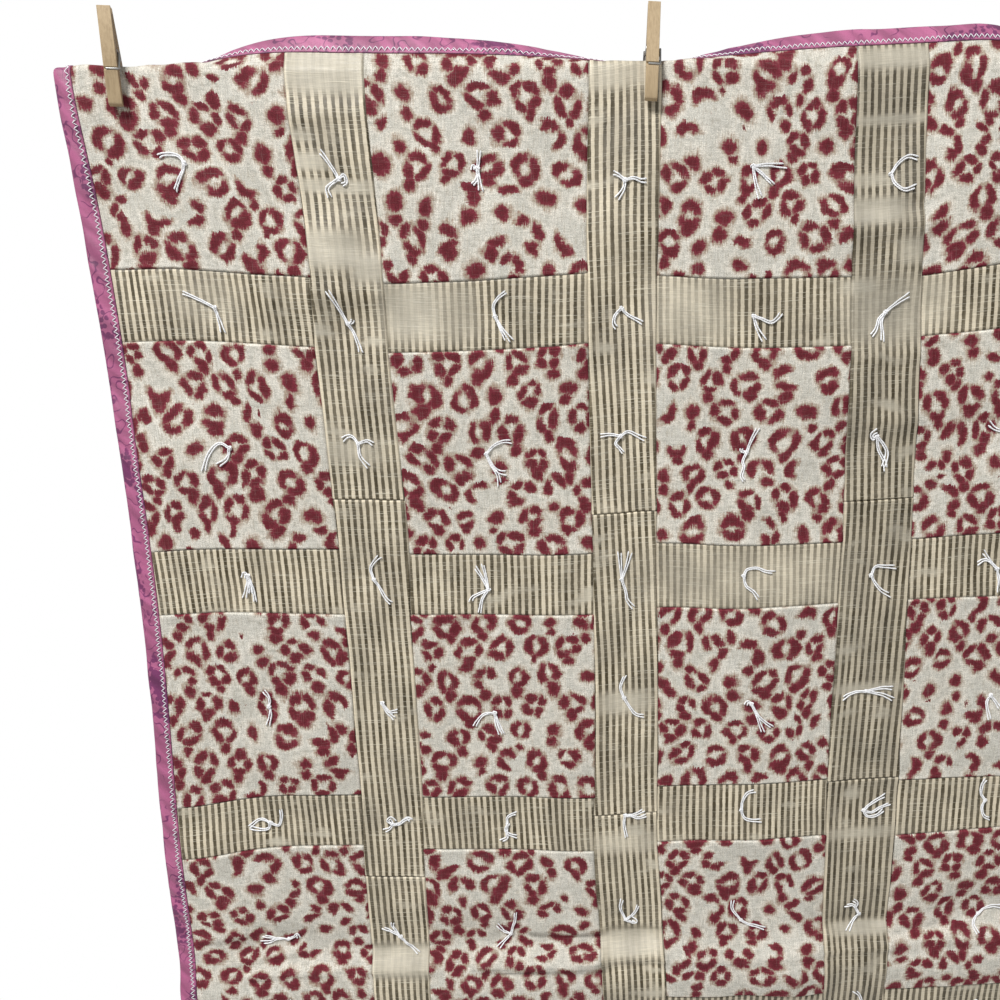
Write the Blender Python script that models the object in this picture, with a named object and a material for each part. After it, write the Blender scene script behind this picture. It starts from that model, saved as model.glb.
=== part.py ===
"""A tied patchwork quilt hung over a washing line by wooden clothes pegs.

Blender 4.5, metres, +Z up. The origin is the middle of the line that the top edge
is folded over. The pieced front faces -Y. A place on the cloth is given as (u, v):
u runs to the right from the left binding's seam, v runs down from the top binding's.
"""
import math

import bmesh
import bpy
from mathutils import Matrix, Vector

INCH = 0.0254
MM = 0.001

# Patchwork layout
COLUMNS = 6
ROWS = 7
BLOCK = 6 * INCH
SASH = 2 * INCH
PITCH = BLOCK + SASH
TIE_STEP = PITCH / 2
FIRST_TIE = BLOCK / 2
WIDTH = COLUMNS * PITCH - SASH
HEIGHT = ROWS * PITCH - SASH

# Thickness, each way from the middle of the sheet
PUFF = 3.3 * MM
TIE_PINCH = 1.7 * MM
EDGE_HALF = 1.9 * MM
PEG_HALF = 1.3 * MM
BINDING_PRESSED = 1.7 * MM
EDGE_FADE = 22 * MM
KNOT_HEIGHT = 2.8 * MM
KNOT_REACH = 4.5 * MM

# Binding: cloth folded round the edge and filled by its seam allowances
BINDING = 13.8 * MM
BINDING_HALF = 2.3 * MM
BINDING_ROUND = 1.6 * MM
GAP = 0.3 * MM

# Top edge: folded over the line at the pegs, standing up between them
BEND_V = 13 * MM
LOOSE_RADIUS = 4.6 * MM
TIGHT_RADIUS = 2.4 * MM
FOLDED_TURN = math.radians(163)
PRESSED_TURN = math.radians(179)
STANDING_TURN = math.radians(21)
PRESS_FLAT = 8 * MM
PRESS_MIDDLE = 19 * MM
PRESS_REACH = 32 * MM
PRESS_DROP = 30 * MM
PEG_LIFT = 3.2 * MM
TOP_BENDS = (2 * MM, 5 * MM, 8.5 * MM)
LINE_BENDS = (3 * MM, 6 * MM, 9 * MM, 12 * MM, 16 * MM, 20 * MM, 25 * MM)
CREASE_ROWS = (28 * INCH, 30 * INCH)

# Pegs: place along the cloth, lean to the left and turn to the right in degrees,
# extra cloth drawn over the line and how far along that reaches
PEGS = (
    (30 * MM, 2.0, 12.0, 10 * MM, 110 * MM),
    (401 * MM, -3.4, 0.0, 4 * MM, 50 * MM),
    (771 * MM, 1.5, -3.0, 11 * MM, 190 * MM),
    (1141 * MM, -3.0, -8.0, 8 * MM, 90 * MM),
)
TURN_REACH = 26 * MM
TURN_DROP = 60 * MM

# Stretches of the top edge that stand up: where each starts to rise, is up, starts to fall, is down
STANDS = (
    (-50 * MM, 180 * MM, 240 * MM, 550 * MM),
    (230 * MM, 560 * MM, 640 * MM, 820 * MM),
    (720 * MM, 905 * MM, 985 * MM, 1230 * MM),
)

# In-plane pulls in the hung cloth: u, v, reach each way, then how far it shifts right and down
PULLS = (
    (90 * MM, 0 * MM, 130 * MM, 110 * MM, -11 * MM, 0 * MM),
    (385 * MM, 0 * MM, 80 * MM, 100 * MM, 6 * MM, 0 * MM),
    (0 * MM, 370 * MM, 100 * MM, 240 * MM, 7 * MM, 3 * MM),
    (0 * MM, 590 * MM, 70 * MM, 110 * MM, -3.5 * MM, 13 * MM),
    (375 * MM, 585 * MM, 80 * MM, 90 * MM, -4 * MM, 7 * MM),
    (560 * MM, 590 * MM, 60 * MM, 130 * MM, -6 * MM, 0 * MM),
    (600 * MM, 800 * MM, 900 * MM, 90 * MM, 0 * MM, -8 * MM),
)

# Soft folds: u and v of the crest's two ends, its half width, and its height towards the front
FOLDS = (
    (-20 * MM, 752 * MM, 520 * MM, 742 * MM, 30 * MM, 8 * MM),
    (520 * MM, 742 * MM, 1180 * MM, 728 * MM, 30 * MM, 7 * MM),
    (60 * MM, 704 * MM, 400 * MM, 700 * MM, 20 * MM, -4 * MM),
    (560 * MM, 694 * MM, 1100 * MM, 686 * MM, 20 * MM, -4 * MM),
    (40 * MM, 40 * MM, 150 * MM, 170 * MM, 26 * MM, 5 * MM),
    (10 * MM, 60 * MM, 20 * MM, 230 * MM, 22 * MM, -4 * MM),
    (170 * MM, 40 * MM, 176 * MM, 60 * MM, 24 * MM, 4 * MM),
    (172 * MM, 130 * MM, 184 * MM, 145 * MM, 26 * MM, 5 * MM),
    (220 * MM, 60 * MM, 330 * MM, 190 * MM, 34 * MM, 5 * MM),
    (384 * MM, 60 * MM, 384 * MM, 120 * MM, 30 * MM, 5 * MM),
    (440 * MM, 60 * MM, 540 * MM, 240 * MM, 34 * MM, 4 * MM),
    (584 * MM, 120 * MM, 590 * MM, 150 * MM, 28 * MM, 5 * MM),
    (584 * MM, 250 * MM, 584 * MM, 262 * MM, 26 * MM, 5 * MM),
    (640 * MM, 80 * MM, 720 * MM, 330 * MM, 40 * MM, 6 * MM),
    (60 * MM, 300 * MM, 120 * MM, 520 * MM, 45 * MM, 5 * MM),
    (250 * MM, 330 * MM, 300 * MM, 560 * MM, 50 * MM, -4 * MM),
    (460 * MM, 380 * MM, 500 * MM, 600 * MM, 45 * MM, 5 * MM),
    (820 * MM, 120 * MM, 900 * MM, 560 * MM, 55 * MM, 7 * MM),
    (1010 * MM, 90 * MM, 1060 * MM, 620 * MM, 50 * MM, -6 * MM),
    (120 * MM, 880 * MM, 160 * MM, 1390 * MM, 60 * MM, 8 * MM),
    (380 * MM, 900 * MM, 400 * MM, 1390 * MM, 65 * MM, -7 * MM),
    (640 * MM, 860 * MM, 620 * MM, 1390 * MM, 60 * MM, 8 * MM),
    (880 * MM, 900 * MM, 900 * MM, 1390 * MM, 65 * MM, -7 * MM),
    (1090 * MM, 880 * MM, 1060 * MM, 1390 * MM, 55 * MM, 7 * MM),
)
FOLD_START = 55 * MM

# A clothes peg
PEG_LENGTH = 67 * MM
PEG_WIDTH = 9.0 * MM
LEVER_THICK = 7.4 * MM
TIP_THICK = 4.8 * MM
LINE_FROM_TIP = 27.1 * MM
COIL_FROM_TIP = 37.7 * MM
WIRE_FROM_TIP = 22.9 * MM
HANDLE_TAPER = 5.4 * MM
JAW_OPENING = math.radians(12.5)
PIVOT_OFFSET = 2.2 * MM
COIL_RADIUS = 3.2 * MM
COIL_GROOVE = 4.4 * MM
COIL_TURNS = 4.5
COIL_STEPS = 6
WIRE = 1.5 * MM
WIRE_GROOVE = 1.4 * MM

MATERIALS = {
    "quilt": ((0.62, 0.50, 0.40, 1.0), 0.85, 0.0),
    "binding": ((0.55, 0.16, 0.36, 1.0), 0.55, 0.0),
    "wood": ((0.58, 0.42, 0.24, 1.0), 0.70, 0.0),
    "wire": ((0.62, 0.62, 0.62, 1.0), 0.35, 1.0),
}


def clear_scene():
    for old in list(bpy.data.objects):
        bpy.data.objects.remove(old, do_unlink=True)


def material(name):
    found = bpy.data.materials.get(name)
    if found:
        return found
    colour, roughness, metallic = MATERIALS[name]
    made = bpy.data.materials.new(name)
    made.use_nodes = True
    shader = made.node_tree.nodes["Principled BSDF"]
    shader.inputs["Base Color"].default_value = colour
    shader.inputs["Roughness"].default_value = roughness
    shader.inputs["Metallic"].default_value = metallic
    made.diffuse_color = colour
    return made


def add_object(name, data, material_name):
    made = bpy.data.objects.new(name, data)
    bpy.context.scene.collection.objects.link(made)
    data.materials.append(material(material_name))
    return made


def smooth(value):
    value = min(1.0, max(0.0, value))
    return value * value * (3 - 2 * value)


def bell(distance, reach):
    return math.exp(-((distance / reach) ** 2))


def press(u):
    """How strongly the nearest peg squeezes the cloth, 0 to 1."""
    away = min(abs(u - peg[0]) for peg in PEGS)
    return smooth((PRESS_REACH - away) / (PRESS_REACH - PRESS_FLAT))


def squeeze(u, v):
    """How far the cloth is pressed at (u, v), which fades below the line."""
    return press(u) * math.exp(-max(0.0, v - bend_start(u)) / PRESS_DROP)


def standing(u):
    """How far the top edge stands up at u, from 0, folded over the line, to 1."""
    up = 0.0
    for rise, risen, fall, fallen in STANDS:
        up = max(up, min(smooth((u - rise) / (risen - rise)), smooth((fallen - u) / (fallen - fall))))
    return up


def bend_start(u):
    """The place v on the cloth that lies at the line's height."""
    return BEND_V + sum(drawn * bell(u - place, reach) for place, lean, turn, drawn, reach in PEGS)


def turned(u):
    """How far back the cloth lies where the nearby pegs turn it."""
    back = 0.0
    for place, lean, turn, drawn, reach in PEGS:
        back += math.tan(math.radians(turn)) * (u - place) * bell(u - place, TURN_REACH)
    return back


def pull(u, v):
    right = down = 0.0
    for place_u, place_v, reach_u, reach_v, move_right, move_down in PULLS:
        share = bell(u - place_u, reach_u) * bell(v - place_v, reach_v)
        right += share * move_right
        down += share * move_down
    return right, down


def fold_depth(u, v):
    """How far the sheet's folds stand towards the front."""
    depth = 0.0
    for u_start, v_start, u_end, v_end, half_width, height in FOLDS:
        run_u, run_v = u_end - u_start, v_end - v_start
        along = ((u - u_start) * run_u + (v - v_start) * run_v) / (run_u * run_u + run_v * run_v)
        along = min(1.0, max(0.0, along))
        off = math.hypot(u - u_start - along * run_u, v - v_start - along * run_v)
        depth += height * bell(off, half_width)
    return depth


def sheet_point(u, v):
    """The middle of the sheet at (u, v), as it hangs."""
    level = bend_start(u)
    below = max(0.0, v - level)
    above = max(0.0, level - v)
    right, down = pull(u, max(v, level))
    pressed = squeeze(u, v)
    radius = LOOSE_RADIUS + (TIGHT_RADIUS - LOOSE_RADIUS) * pressed
    turn = FOLDED_TURN + (STANDING_TURN - FOLDED_TURN) * standing(u)
    turn += (PRESSED_TURN - turn) * pressed
    angle = min(above / radius, turn)
    rest = above - radius * angle
    hang = 1 - bell(below, FOLD_START)
    lift = PEG_LIFT * pressed
    y = -radius * math.cos(angle) + rest * math.sin(angle) - fold_depth(u, v) * hang
    y += turned(u) * bell(below, TURN_DROP)
    z = lift + radius * math.sin(angle) + rest * math.cos(angle) - below - down
    return Vector((u - WIDTH / 2 + right, y, z))


def sheet_normal(u, v):
    """The unit normal towards the pieced front."""
    step = 0.4 * MM
    across = sheet_point(u + step, v) - sheet_point(u - step, v)
    down = sheet_point(u, v + step) - sheet_point(u, v - step)
    return down.cross(across).normalized()


def edge_distance(u, v):
    return min(u, WIDTH - u, v, HEIGHT - v)


def half_thickness(u, v):
    """Half the quilt's thickness: full between the ties, pinched at ties, seams, pegs and edges."""
    tie_u = FIRST_TIE + TIE_STEP * round((u - FIRST_TIE) / TIE_STEP)
    tie_v = FIRST_TIE + TIE_STEP * round((v - FIRST_TIE) / TIE_STEP)
    near_tie = bell(math.hypot(u - tie_u, v - tie_v), TIE_STEP * 0.3)
    inner = PUFF - (PUFF - TIE_PINCH) * near_tie
    inside = smooth(edge_distance(u, v) / EDGE_FADE)
    half = EDGE_HALF + (inner - EDGE_HALF) * inside
    return half + (PEG_HALF - half) * squeeze(u, v)


def tie_stations(extent):
    """The ties, and the puffs half way between ties, along one side."""
    marks = [0.0]
    mark = FIRST_TIE % (TIE_STEP / 2)
    while mark < extent:
        marks.append(mark)
        mark += TIE_STEP / 2
    return marks + [extent]


def at_tie(place):
    steps = (place - FIRST_TIE) / TIE_STEP
    return abs(steps - round(steps)) * TIE_STEP < GAP


def top_edge_stations(marks):
    """Add stations where the top edge turns over, and beside the pegs, where the cloth is squeezed."""
    for inches in range(2, round(WIDTH / INCH), 2):
        if 0 < standing(inches * INCH) < 1:
            marks.append(inches * INCH)
    for place, lean, turn, drawn, reach in PEGS:
        sides = (place - PRESS_FLAT, place + PRESS_FLAT)
        marks = [u for u in marks if at_tie(u) or min(abs(u - side) for side in sides) > PRESS_FLAT]
        sides += (place - PRESS_MIDDLE, place + PRESS_MIDDLE)
        marks += [side for side in sides if min(abs(side - u) for u in marks) > PRESS_FLAT / 2]
    return sorted(marks)


def body_stations():
    marks = sorted(tie_stations(HEIGHT) + list(CREASE_ROWS))
    return top_edge_stations(tie_stations(WIDTH)), marks[:1] + list(LINE_BENDS) + marks[1:]


def face_point(u, v, offset):
    return sheet_point(u, v) + sheet_normal(u, v) * offset


def is_tie(u, v):
    return at_tie(u) and at_tie(v) and 0 < u < WIDTH and 0 < v < HEIGHT


def raise_knots(mesh, centres):
    """Turn each tied vertex of the front into a small flat with a raised knot in its middle."""
    result = bmesh.ops.bevel(
        mesh, geom=centres, offset=KNOT_REACH, offset_type="OFFSET", segments=1, affect="VERTICES"
    )
    poked = bmesh.ops.poke(mesh, faces=result["faces"])
    for knot in poked["verts"]:
        knot.co.y -= KNOT_HEIGHT


def make_quilt():
    across, down = body_stations()
    mesh = bmesh.new()
    sides = []
    for facing in (1, -1):
        rows = []
        for v in down:
            rows.append([mesh.verts.new(face_point(u, v, facing * half_thickness(u, v))) for u in across])
        sides.append(rows)
    front, back = sides
    for row in range(len(down) - 1):
        for column in range(len(across) - 1):
            cell = ((row, column), (row + 1, column), (row + 1, column + 1), (row, column + 1))
            mesh.faces.new([front[r][c] for r, c in cell])
            mesh.faces.new([back[r][c] for r, c in (cell[0], cell[3], cell[2], cell[1])])
    last_row, last_column = len(down) - 1, len(across) - 1
    rim = [(0, c) for c in range(last_column)]
    rim += [(r, last_column) for r in range(last_row)]
    rim += [(last_row, c) for c in range(last_column, 0, -1)]
    rim += [(r, 0) for r in range(last_row, 0, -1)]
    for here, there in zip(rim, rim[1:] + rim[:1]):
        corners = [front[here[0]][here[1]], front[there[0]][there[1]]]
        corners += [back[there[0]][there[1]], back[here[0]][here[1]]]
        if there < here:
            corners = corners[1:] + corners[:1]
        mesh.faces.new(corners)
    ties = [(r, c) for r, v in enumerate(down) for c, u in enumerate(across) if is_tie(u, v)]
    raise_knots(mesh, [front[r][c] for r, c in ties])
    bmesh.ops.triangulate(mesh, faces=mesh.faces, quad_method="FIXED")
    data = bpy.data.meshes.new("quilt")
    mesh.to_mesh(data)
    mesh.free()
    data.shade_smooth()
    return add_object("quilt", data, "quilt")


def binding_section(bends):
    """The strip's section as (outward from its seam, share of its half thickness)."""
    front = [(GAP, 1.0)] + [(bend, 1.0) for bend in bends] + [(BINDING - BINDING_ROUND, 0.8)]
    return front + [(BINDING, 0.0)] + [(outward, -share) for outward, share in reversed(front)]


def make_binding(name, stations, bends, place):
    """One strip: place(station, outward) gives the (u, v) of a point of its section."""
    mesh = bmesh.new()
    section = binding_section(bends)
    rings = []
    for station in stations:
        ring = []
        for outward, share in section:
            u, v = place(station, outward)
            half = BINDING_HALF + (BINDING_PRESSED - BINDING_HALF) * squeeze(u, v)
            if outward == GAP:
                half = half_thickness(u, v)
            ring.append(mesh.verts.new(face_point(u, v, share * half)))
        rings.append(ring)
    size = len(rings[0])
    for ring, following in zip(rings, rings[1:]):
        for index in range(size):
            after = (index + 1) % size
            corners = [ring[index], ring[after], following[after], following[index]]
            if section[index][0] <= section[after][0]:
                corners = corners[1:] + corners[:1]
            mesh.faces.new(corners)
    mesh.faces.new(rings[0])
    mesh.faces.new(list(reversed(rings[-1])))
    bmesh.ops.recalc_face_normals(mesh, faces=mesh.faces)
    bmesh.ops.triangulate(mesh, faces=mesh.faces, quad_method="FIXED")
    data = bpy.data.meshes.new(name)
    mesh.to_mesh(data)
    mesh.free()
    data.shade_smooth()
    data.set_sharp_from_angle(angle=math.radians(50))
    return add_object(name, data, "binding")


def make_bindings():
    across, down = body_stations()
    along_top = [-BINDING] + across + [WIDTH + BINDING]
    along_side = [GAP] + down[1:-1] + [HEIGHT - GAP]
    make_binding("binding_top", along_top, TOP_BENDS, lambda u, outward: (u, -outward))
    make_binding("binding_bottom", along_top, (), lambda u, outward: (u, HEIGHT + outward))
    make_binding("binding_left", along_side, (), lambda v, outward: (-outward, v))
    make_binding("binding_right", along_side, (), lambda v, outward: (WIDTH + outward, v))


def lever_outline():
    """One lever's side, as (distance from the jaw's tip, distance out from its inner face)."""
    groove_half = math.sqrt(COIL_GROOVE ** 2 - PIVOT_OFFSET ** 2)
    swing = math.asin(groove_half / COIL_GROOVE)
    points = [(0.0, 0.0), (COIL_FROM_TIP - groove_half, 0.0)]
    for step in range(1, 6):
        angle = -swing + 2 * swing * step / 6
        points.append((
            COIL_FROM_TIP + COIL_GROOVE * math.sin(angle),
            COIL_GROOVE * math.cos(angle) - PIVOT_OFFSET,
        ))
    points.append((COIL_FROM_TIP + groove_half, 0.0))
    points.append((PEG_LENGTH, HANDLE_TAPER))
    points.append((PEG_LENGTH, LEVER_THICK))
    points.append((WIRE_FROM_TIP + WIRE, LEVER_THICK))
    points.append((WIRE_FROM_TIP + WIRE * 0.8, LEVER_THICK - WIRE_GROOVE))
    points.append((WIRE_FROM_TIP - WIRE * 0.8, LEVER_THICK - WIRE_GROOVE))
    points.append((WIRE_FROM_TIP - WIRE, LEVER_THICK))
    points.append((0.0, TIP_THICK))
    return points


def jaw_place(side, along, out):
    """A point of a lever in the peg's frame: x to the right, y back, z up from the line."""
    reach = along - COIL_FROM_TIP
    depth = out + PIVOT_OFFSET
    y = depth * math.cos(JAW_OPENING) - reach * math.sin(JAW_OPENING)
    z = depth * math.sin(JAW_OPENING) + reach * math.cos(JAW_OPENING)
    return side * y, z + COIL_FROM_TIP - LINE_FROM_TIP


def make_lever(name, side, frame):
    """side is -1 for the front lever and 1 for the back one."""
    outline = [jaw_place(side, along, out) for along, out in lever_outline()]
    mesh = bmesh.new()
    profile = [mesh.verts.new((-PEG_WIDTH / 2, y, z)) for y, z in outline]
    face = mesh.faces.new(profile)
    pushed = bmesh.ops.extrude_face_region(mesh, geom=[face])
    moved = [item for item in pushed["geom"] if isinstance(item, bmesh.types.BMVert)]
    bmesh.ops.translate(mesh, verts=moved, vec=(PEG_WIDTH, 0, 0))
    bmesh.ops.recalc_face_normals(mesh, faces=mesh.faces)
    data = bpy.data.meshes.new(name)
    mesh.to_mesh(data)
    mesh.free()
    made = add_object(name, data, "wood")
    made.matrix_world = frame


def spring_path():
    """Half of the wire is worked out, and the other half is its half turn about the peg's axis."""
    side_x = PEG_WIDTH / 2 + GAP + WIRE / 2
    out = LEVER_THICK - WIRE_GROOVE + GAP + WIRE / 2
    front_y, front_z = jaw_place(-1, WIRE_FROM_TIP, out)
    coil_z = COIL_FROM_TIP - LINE_FROM_TIP
    bend = 0.8 * MM
    arm = [
        Vector((-PEG_WIDTH / 2 + WIRE, front_y, front_z)),
        Vector((side_x - bend, front_y, front_z)),
        Vector((side_x, front_y + bend, front_z + bend * 0.5)),
    ]
    coil = []
    steps = round(COIL_TURNS * COIL_STEPS)
    for step in range(steps + 1):
        angle = math.radians(-90) - 2 * math.pi * step / COIL_STEPS
        x = side_x * (1 - 2 * step / steps)
        coil.append(Vector((x, COIL_RADIUS * math.sin(angle), coil_z + COIL_RADIUS * math.cos(angle))))
    other = [Vector((-point.x, -point.y, point.z)) for point in reversed(arm)]
    return arm + coil + other


def make_spring(name, frame):
    path = spring_path()
    data = bpy.data.curves.new(name, "CURVE")
    data.dimensions = "3D"
    data.bevel_depth = WIRE / 2
    data.bevel_resolution = 0
    data.use_fill_caps = True
    spline = data.splines.new("POLY")
    spline.points.add(len(path) - 1)
    for point, place in zip(spline.points, path):
        point.co = (place.x, place.y, place.z, 1.0)
    made = add_object(name, data, "wire")
    made.matrix_world = frame


def make_peg(number, place, lean, turn):
    at_line = sheet_point(place, bend_start(place))
    frame = Matrix.Translation((at_line.x, 0, PEG_LIFT))
    frame @= Matrix.Rotation(math.radians(turn), 4, "Z") @ Matrix.Rotation(math.radians(-lean), 4, "Y")
    make_lever(f"peg_{number}_front", -1, frame)
    make_lever(f"peg_{number}_back", 1, frame)
    make_spring(f"peg_{number}_spring", frame)


def main():
    clear_scene()
    make_quilt()
    make_bindings()
    for number, (place, lean, turn, drawn, reach) in enumerate(PEGS, start=1):
        make_peg(number, place, lean, turn)


main()
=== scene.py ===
"""A tied patchwork quilt hung by wooden clothes pegs: cloth, stitching, yarn and looks over the CAD frame.

Metres, +Z up, the pieced front faces -Y. A place on the cloth is (u, v): u runs to the right from the
left binding's seam, and v runs down from the top binding's seam, as in the part's source.
"""
import math

import bpy
import numpy as np
from mathutils import Matrix, Vector


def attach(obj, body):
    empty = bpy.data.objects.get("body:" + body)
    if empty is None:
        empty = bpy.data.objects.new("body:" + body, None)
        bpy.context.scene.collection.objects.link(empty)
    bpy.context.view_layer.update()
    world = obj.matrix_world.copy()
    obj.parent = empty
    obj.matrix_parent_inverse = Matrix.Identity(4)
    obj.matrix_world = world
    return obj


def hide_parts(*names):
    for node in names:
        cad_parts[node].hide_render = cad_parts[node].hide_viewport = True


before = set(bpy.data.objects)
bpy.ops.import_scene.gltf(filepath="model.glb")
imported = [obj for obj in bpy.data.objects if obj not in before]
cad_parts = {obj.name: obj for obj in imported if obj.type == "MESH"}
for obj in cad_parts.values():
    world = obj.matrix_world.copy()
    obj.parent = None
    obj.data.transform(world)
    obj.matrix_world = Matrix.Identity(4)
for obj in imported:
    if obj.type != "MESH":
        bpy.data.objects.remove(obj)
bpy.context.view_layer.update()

INCH = 0.0254
MM = 0.001

# The quilt's layout and hang, with the same values as the part's source
COLUMNS = 6
ROWS = 7
BLOCK = 6
SASH = 2
PITCH = BLOCK + SASH
WIDTH = (COLUMNS * PITCH - SASH) * INCH
HEIGHT = (ROWS * PITCH - SASH) * INCH
TIE_STEP = 4 * INCH
FIRST_TIE = 3 * INCH
PUFF = 3.3 * MM
TIE_PINCH = 1.7 * MM
EDGE_HALF = 1.9 * MM
PEG_HALF = 1.3 * MM
EDGE_FADE = 22 * MM
BINDING = 13.8 * MM
BINDING_HALF = 2.3 * MM
BINDING_PRESSED = 1.7 * MM
BEND_V = 13 * MM
LOOSE_RADIUS = 4.6 * MM
TIGHT_RADIUS = 2.4 * MM
FOLDED_TURN = math.radians(163)
PRESSED_TURN = math.radians(179)
STANDING_TURN = math.radians(21)
PRESS_FLAT = 8 * MM
PRESS_REACH = 32 * MM
PRESS_DROP = 30 * MM
PEG_LIFT = 3.2 * MM
FOLD_START = 55 * MM

# Pegs: place (mm), lean to the left and turn to the right (degrees), cloth drawn over and its reach (mm)
PEGS = (
    (30, 2.0, 12.0, 10, 110),
    (401, -3.4, 0.0, 4, 50),
    (771, 1.5, -3.0, 11, 190),
    (1141, -3.0, -8.0, 8, 90),
)
TURN_REACH = 26 * MM
TURN_DROP = 60 * MM

# Stretches of the top edge that stand up, in mm: starts to rise, is up, starts to fall, is down
STANDS = ((-50, 180, 240, 550), (230, 560, 640, 820), (720, 905, 985, 1230))

# Pulls in the hung cloth, in mm: u, v, reach each way, then the shift to the right and down
PULLS = (
    (90, 0, 130, 110, -11, 0),
    (385, 0, 80, 100, 6, 0),
    (0, 370, 100, 240, 7, 3),
    (0, 590, 70, 110, -3.5, 13),
    (375, 585, 80, 90, -4, 7),
    (560, 590, 60, 130, -6, 0),
    (600, 800, 900, 90, 0, -8),
)

# Soft folds, in mm: u and v of the crest's two ends, half width, height towards the front
FOLDS = (
    (-20, 752, 520, 742, 30, 8),
    (520, 742, 1180, 728, 30, 7),
    (60, 704, 400, 700, 20, -4),
    (560, 694, 1100, 686, 20, -4),
    (40, 40, 150, 170, 26, 5),
    (10, 60, 20, 230, 22, -4),
    (170, 40, 176, 60, 24, 4),
    (172, 130, 184, 145, 26, 5),
    (220, 60, 330, 190, 34, 5),
    (384, 60, 384, 120, 30, 5),
    (440, 60, 540, 240, 34, 4),
    (584, 120, 590, 150, 28, 5),
    (584, 250, 584, 262, 26, 5),
    (640, 80, 720, 330, 40, 6),
    (60, 300, 120, 520, 45, 5),
    (250, 330, 300, 560, 50, -4),
    (460, 380, 500, 600, 45, 5),
    (820, 120, 900, 560, 55, 7),
    (1010, 90, 1060, 620, 50, -6),
    (120, 880, 160, 1390, 60, 8),
    (380, 900, 400, 1390, 65, -7),
    (640, 860, 620, 1390, 60, 8),
    (880, 900, 900, 1390, 65, -7),
    (1090, 880, 1060, 1390, 55, 7),
)

# Small creases that only the scene has, in the same columns
CREASES = (
    (560, 694, 610, 696, 5, -2.0), (560, 707, 612, 709, 6, 2.5), (609, 711, 656, 706, 4, -3.0),
    (609, 719, 660, 715, 6, 2.6), (155, 165, 200, 165, 8, 2.0), (155, 132, 203, 131, 8, -1.5),
    (560, 128, 610, 126, 8, 2.2), (560, 112, 610, 112, 6, -1.5), (560, 219, 610, 217, 8, 2.0),
    (560, 267, 610, 265, 8, 1.5), (152, 44, 203, 42, 8, 1.5),
)

# Creases that rise slowly from above and drop sharply, in mm: u and v of both ends, rise, drop, height
LEDGES = (
    (296, 690, 352, 693, 24, 4, 3.2), (250, 724, 350, 727, 26, 4, 7.5), (39, 720, 92, 711, 14, 4, 3.0),
    (50, 732, 118, 729, 12, 4, 4.5), (152, 699, 203, 699, 18, 4, 2.0), (152, 727, 204, 727, 24, 5, 4.6),
    (359, 687, 403, 691, 14, 4, 2.0), (353, 723, 404, 724, 26, 4, 5.6), (410, 727, 556, 722, 26, 6, 2.8),
    (6, 693, 40, 690, 14, 5, 2.2), (566, 722, 606, 722, 20, 5, 2.6), (660, 720, 800, 727, 22, 6, 2.6),
    (860, 712, 1000, 716, 22, 6, 2.6),
)

LEDGE_FADE = 14 * MM

# Painted sheen: where the stripes' contrast is washed out to stand for the satin's sheen, in mm: u, v,
# reach each way, strength
PAINTED_SHEEN_SPOTS = (
    (180, 14, 30, 14, 1.0), (158, 57, 8, 3, 0.7), (160, 74, 14, 5, 0.9), (178, 90, 25, 4, 0.8),
    (170, 134, 21, 12, 1.0), (195, 146, 11, 9, 0.9), (583, 11, 31, 7, 0.9), (583, 52, 29, 3, 0.7),
    (569, 92, 18, 4, 0.6), (571, 114, 22, 8, 1.0), (599, 143, 10, 9, 0.6), (563, 166, 14, 5, 0.9),
    (225, 176, 22, 19, 0.8), (257, 177, 15, 20, 0.4), (434, 181, 28, 22, 0.5), (583, 184, 30, 21, 0.6),
    (481, 385, 74, 24, 0.35), (583, 480, 27, 4, 0.7), (380, 484, 20, 8, 0.7), (585, 608, 27, 5, 0.6),
    (381, 604, 29, 9, 0.5), (178, 715, 32, 14, 1.0), (376, 707, 30, 13, 1.0), (593, 702, 29, 6, 0.9),
    (378, 20, 25, 9, 0.6), (70, 173, 23, 14, 0.3), (169, 278, 23, 9, 0.5), (616, 179, 15, 18, 0.4),
)

# How far each seam crossing lies from the even grid, in mm (right, down): by row inch, at each column inch
JOIN_COLUMNS = (0, 6, 8, 14, 16, 22, 24, 30)
JOINS = {
    6: ((0.0, -1.9), (0.1, 1.6), (1.9, 3.8), (0.1, -0.4), (2.1, 4.2), (-3.3, 5.8), (-2.1, 8.2),
         (-1.0, -2.4)),
    8: ((0.0, -2.0), (-3.5, -0.8), (1.2, 2.4), (-0.3, -1.4), (0.9, 2.0), (-3.0, 5.0), (1.1, 1.2),
         (-1.0, -2.6)),
    14: ((0.0, 1.3), (1.2, -1.0), (6.1, 2.0), (-0.5, 5.2), (-0.4, 0.4), (-3.1, 2.4), (1.3, 2.7),
         (0.0, 2.9)),
    16: ((0.0, 0.4), (1.7, -0.2), (3.9, -0.6), (-1.1, 3.6), (-0.2, 1.5), (-4.2, 0.5), (1.6, 1.4),
         (0.0, 6.0)),
    22: ((0.0, 2.2), (3.2, -0.5), (3.8, 2.7), (-0.3, 3.8), (1.9, -3.0), (-4.0, -1.7), (3.6, 3.9),
         (0.0, 9.0)),
    24: ((0.0, -2.7), (0.9, -4.5), (1.4, -0.7), (-2.6, 0.7), (1.2, -4.0), (-3.7, -1.9), (3.0, 3.2),
         (0.0, 3.5)),
    30: (None, None, None, None, None, (-8.2, -0.2), (-3.7, 2.8), (0.0, 7.0)),
}

# The prints: a spot's cell, in mm, the power that rounds its blobs, and the stripes' pitch, in mm
SPOT_CELL = (27.5, 23.5)
BLOB_POWER = 2.2
STRIPE_PITCH = 5.4

# Where each long sash is joined from shorter strips, in mm down from the top
SASH_JOINS = ((315, 634, 985), (331, 578, 1010), (326, 560, 905), (352, 700, 1060), (290, 640, 940))

# Each long sash's brightness beside the others
SASH_TONES = (0.94, 0.95, 0.74, 0.95, 0.92)

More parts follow.
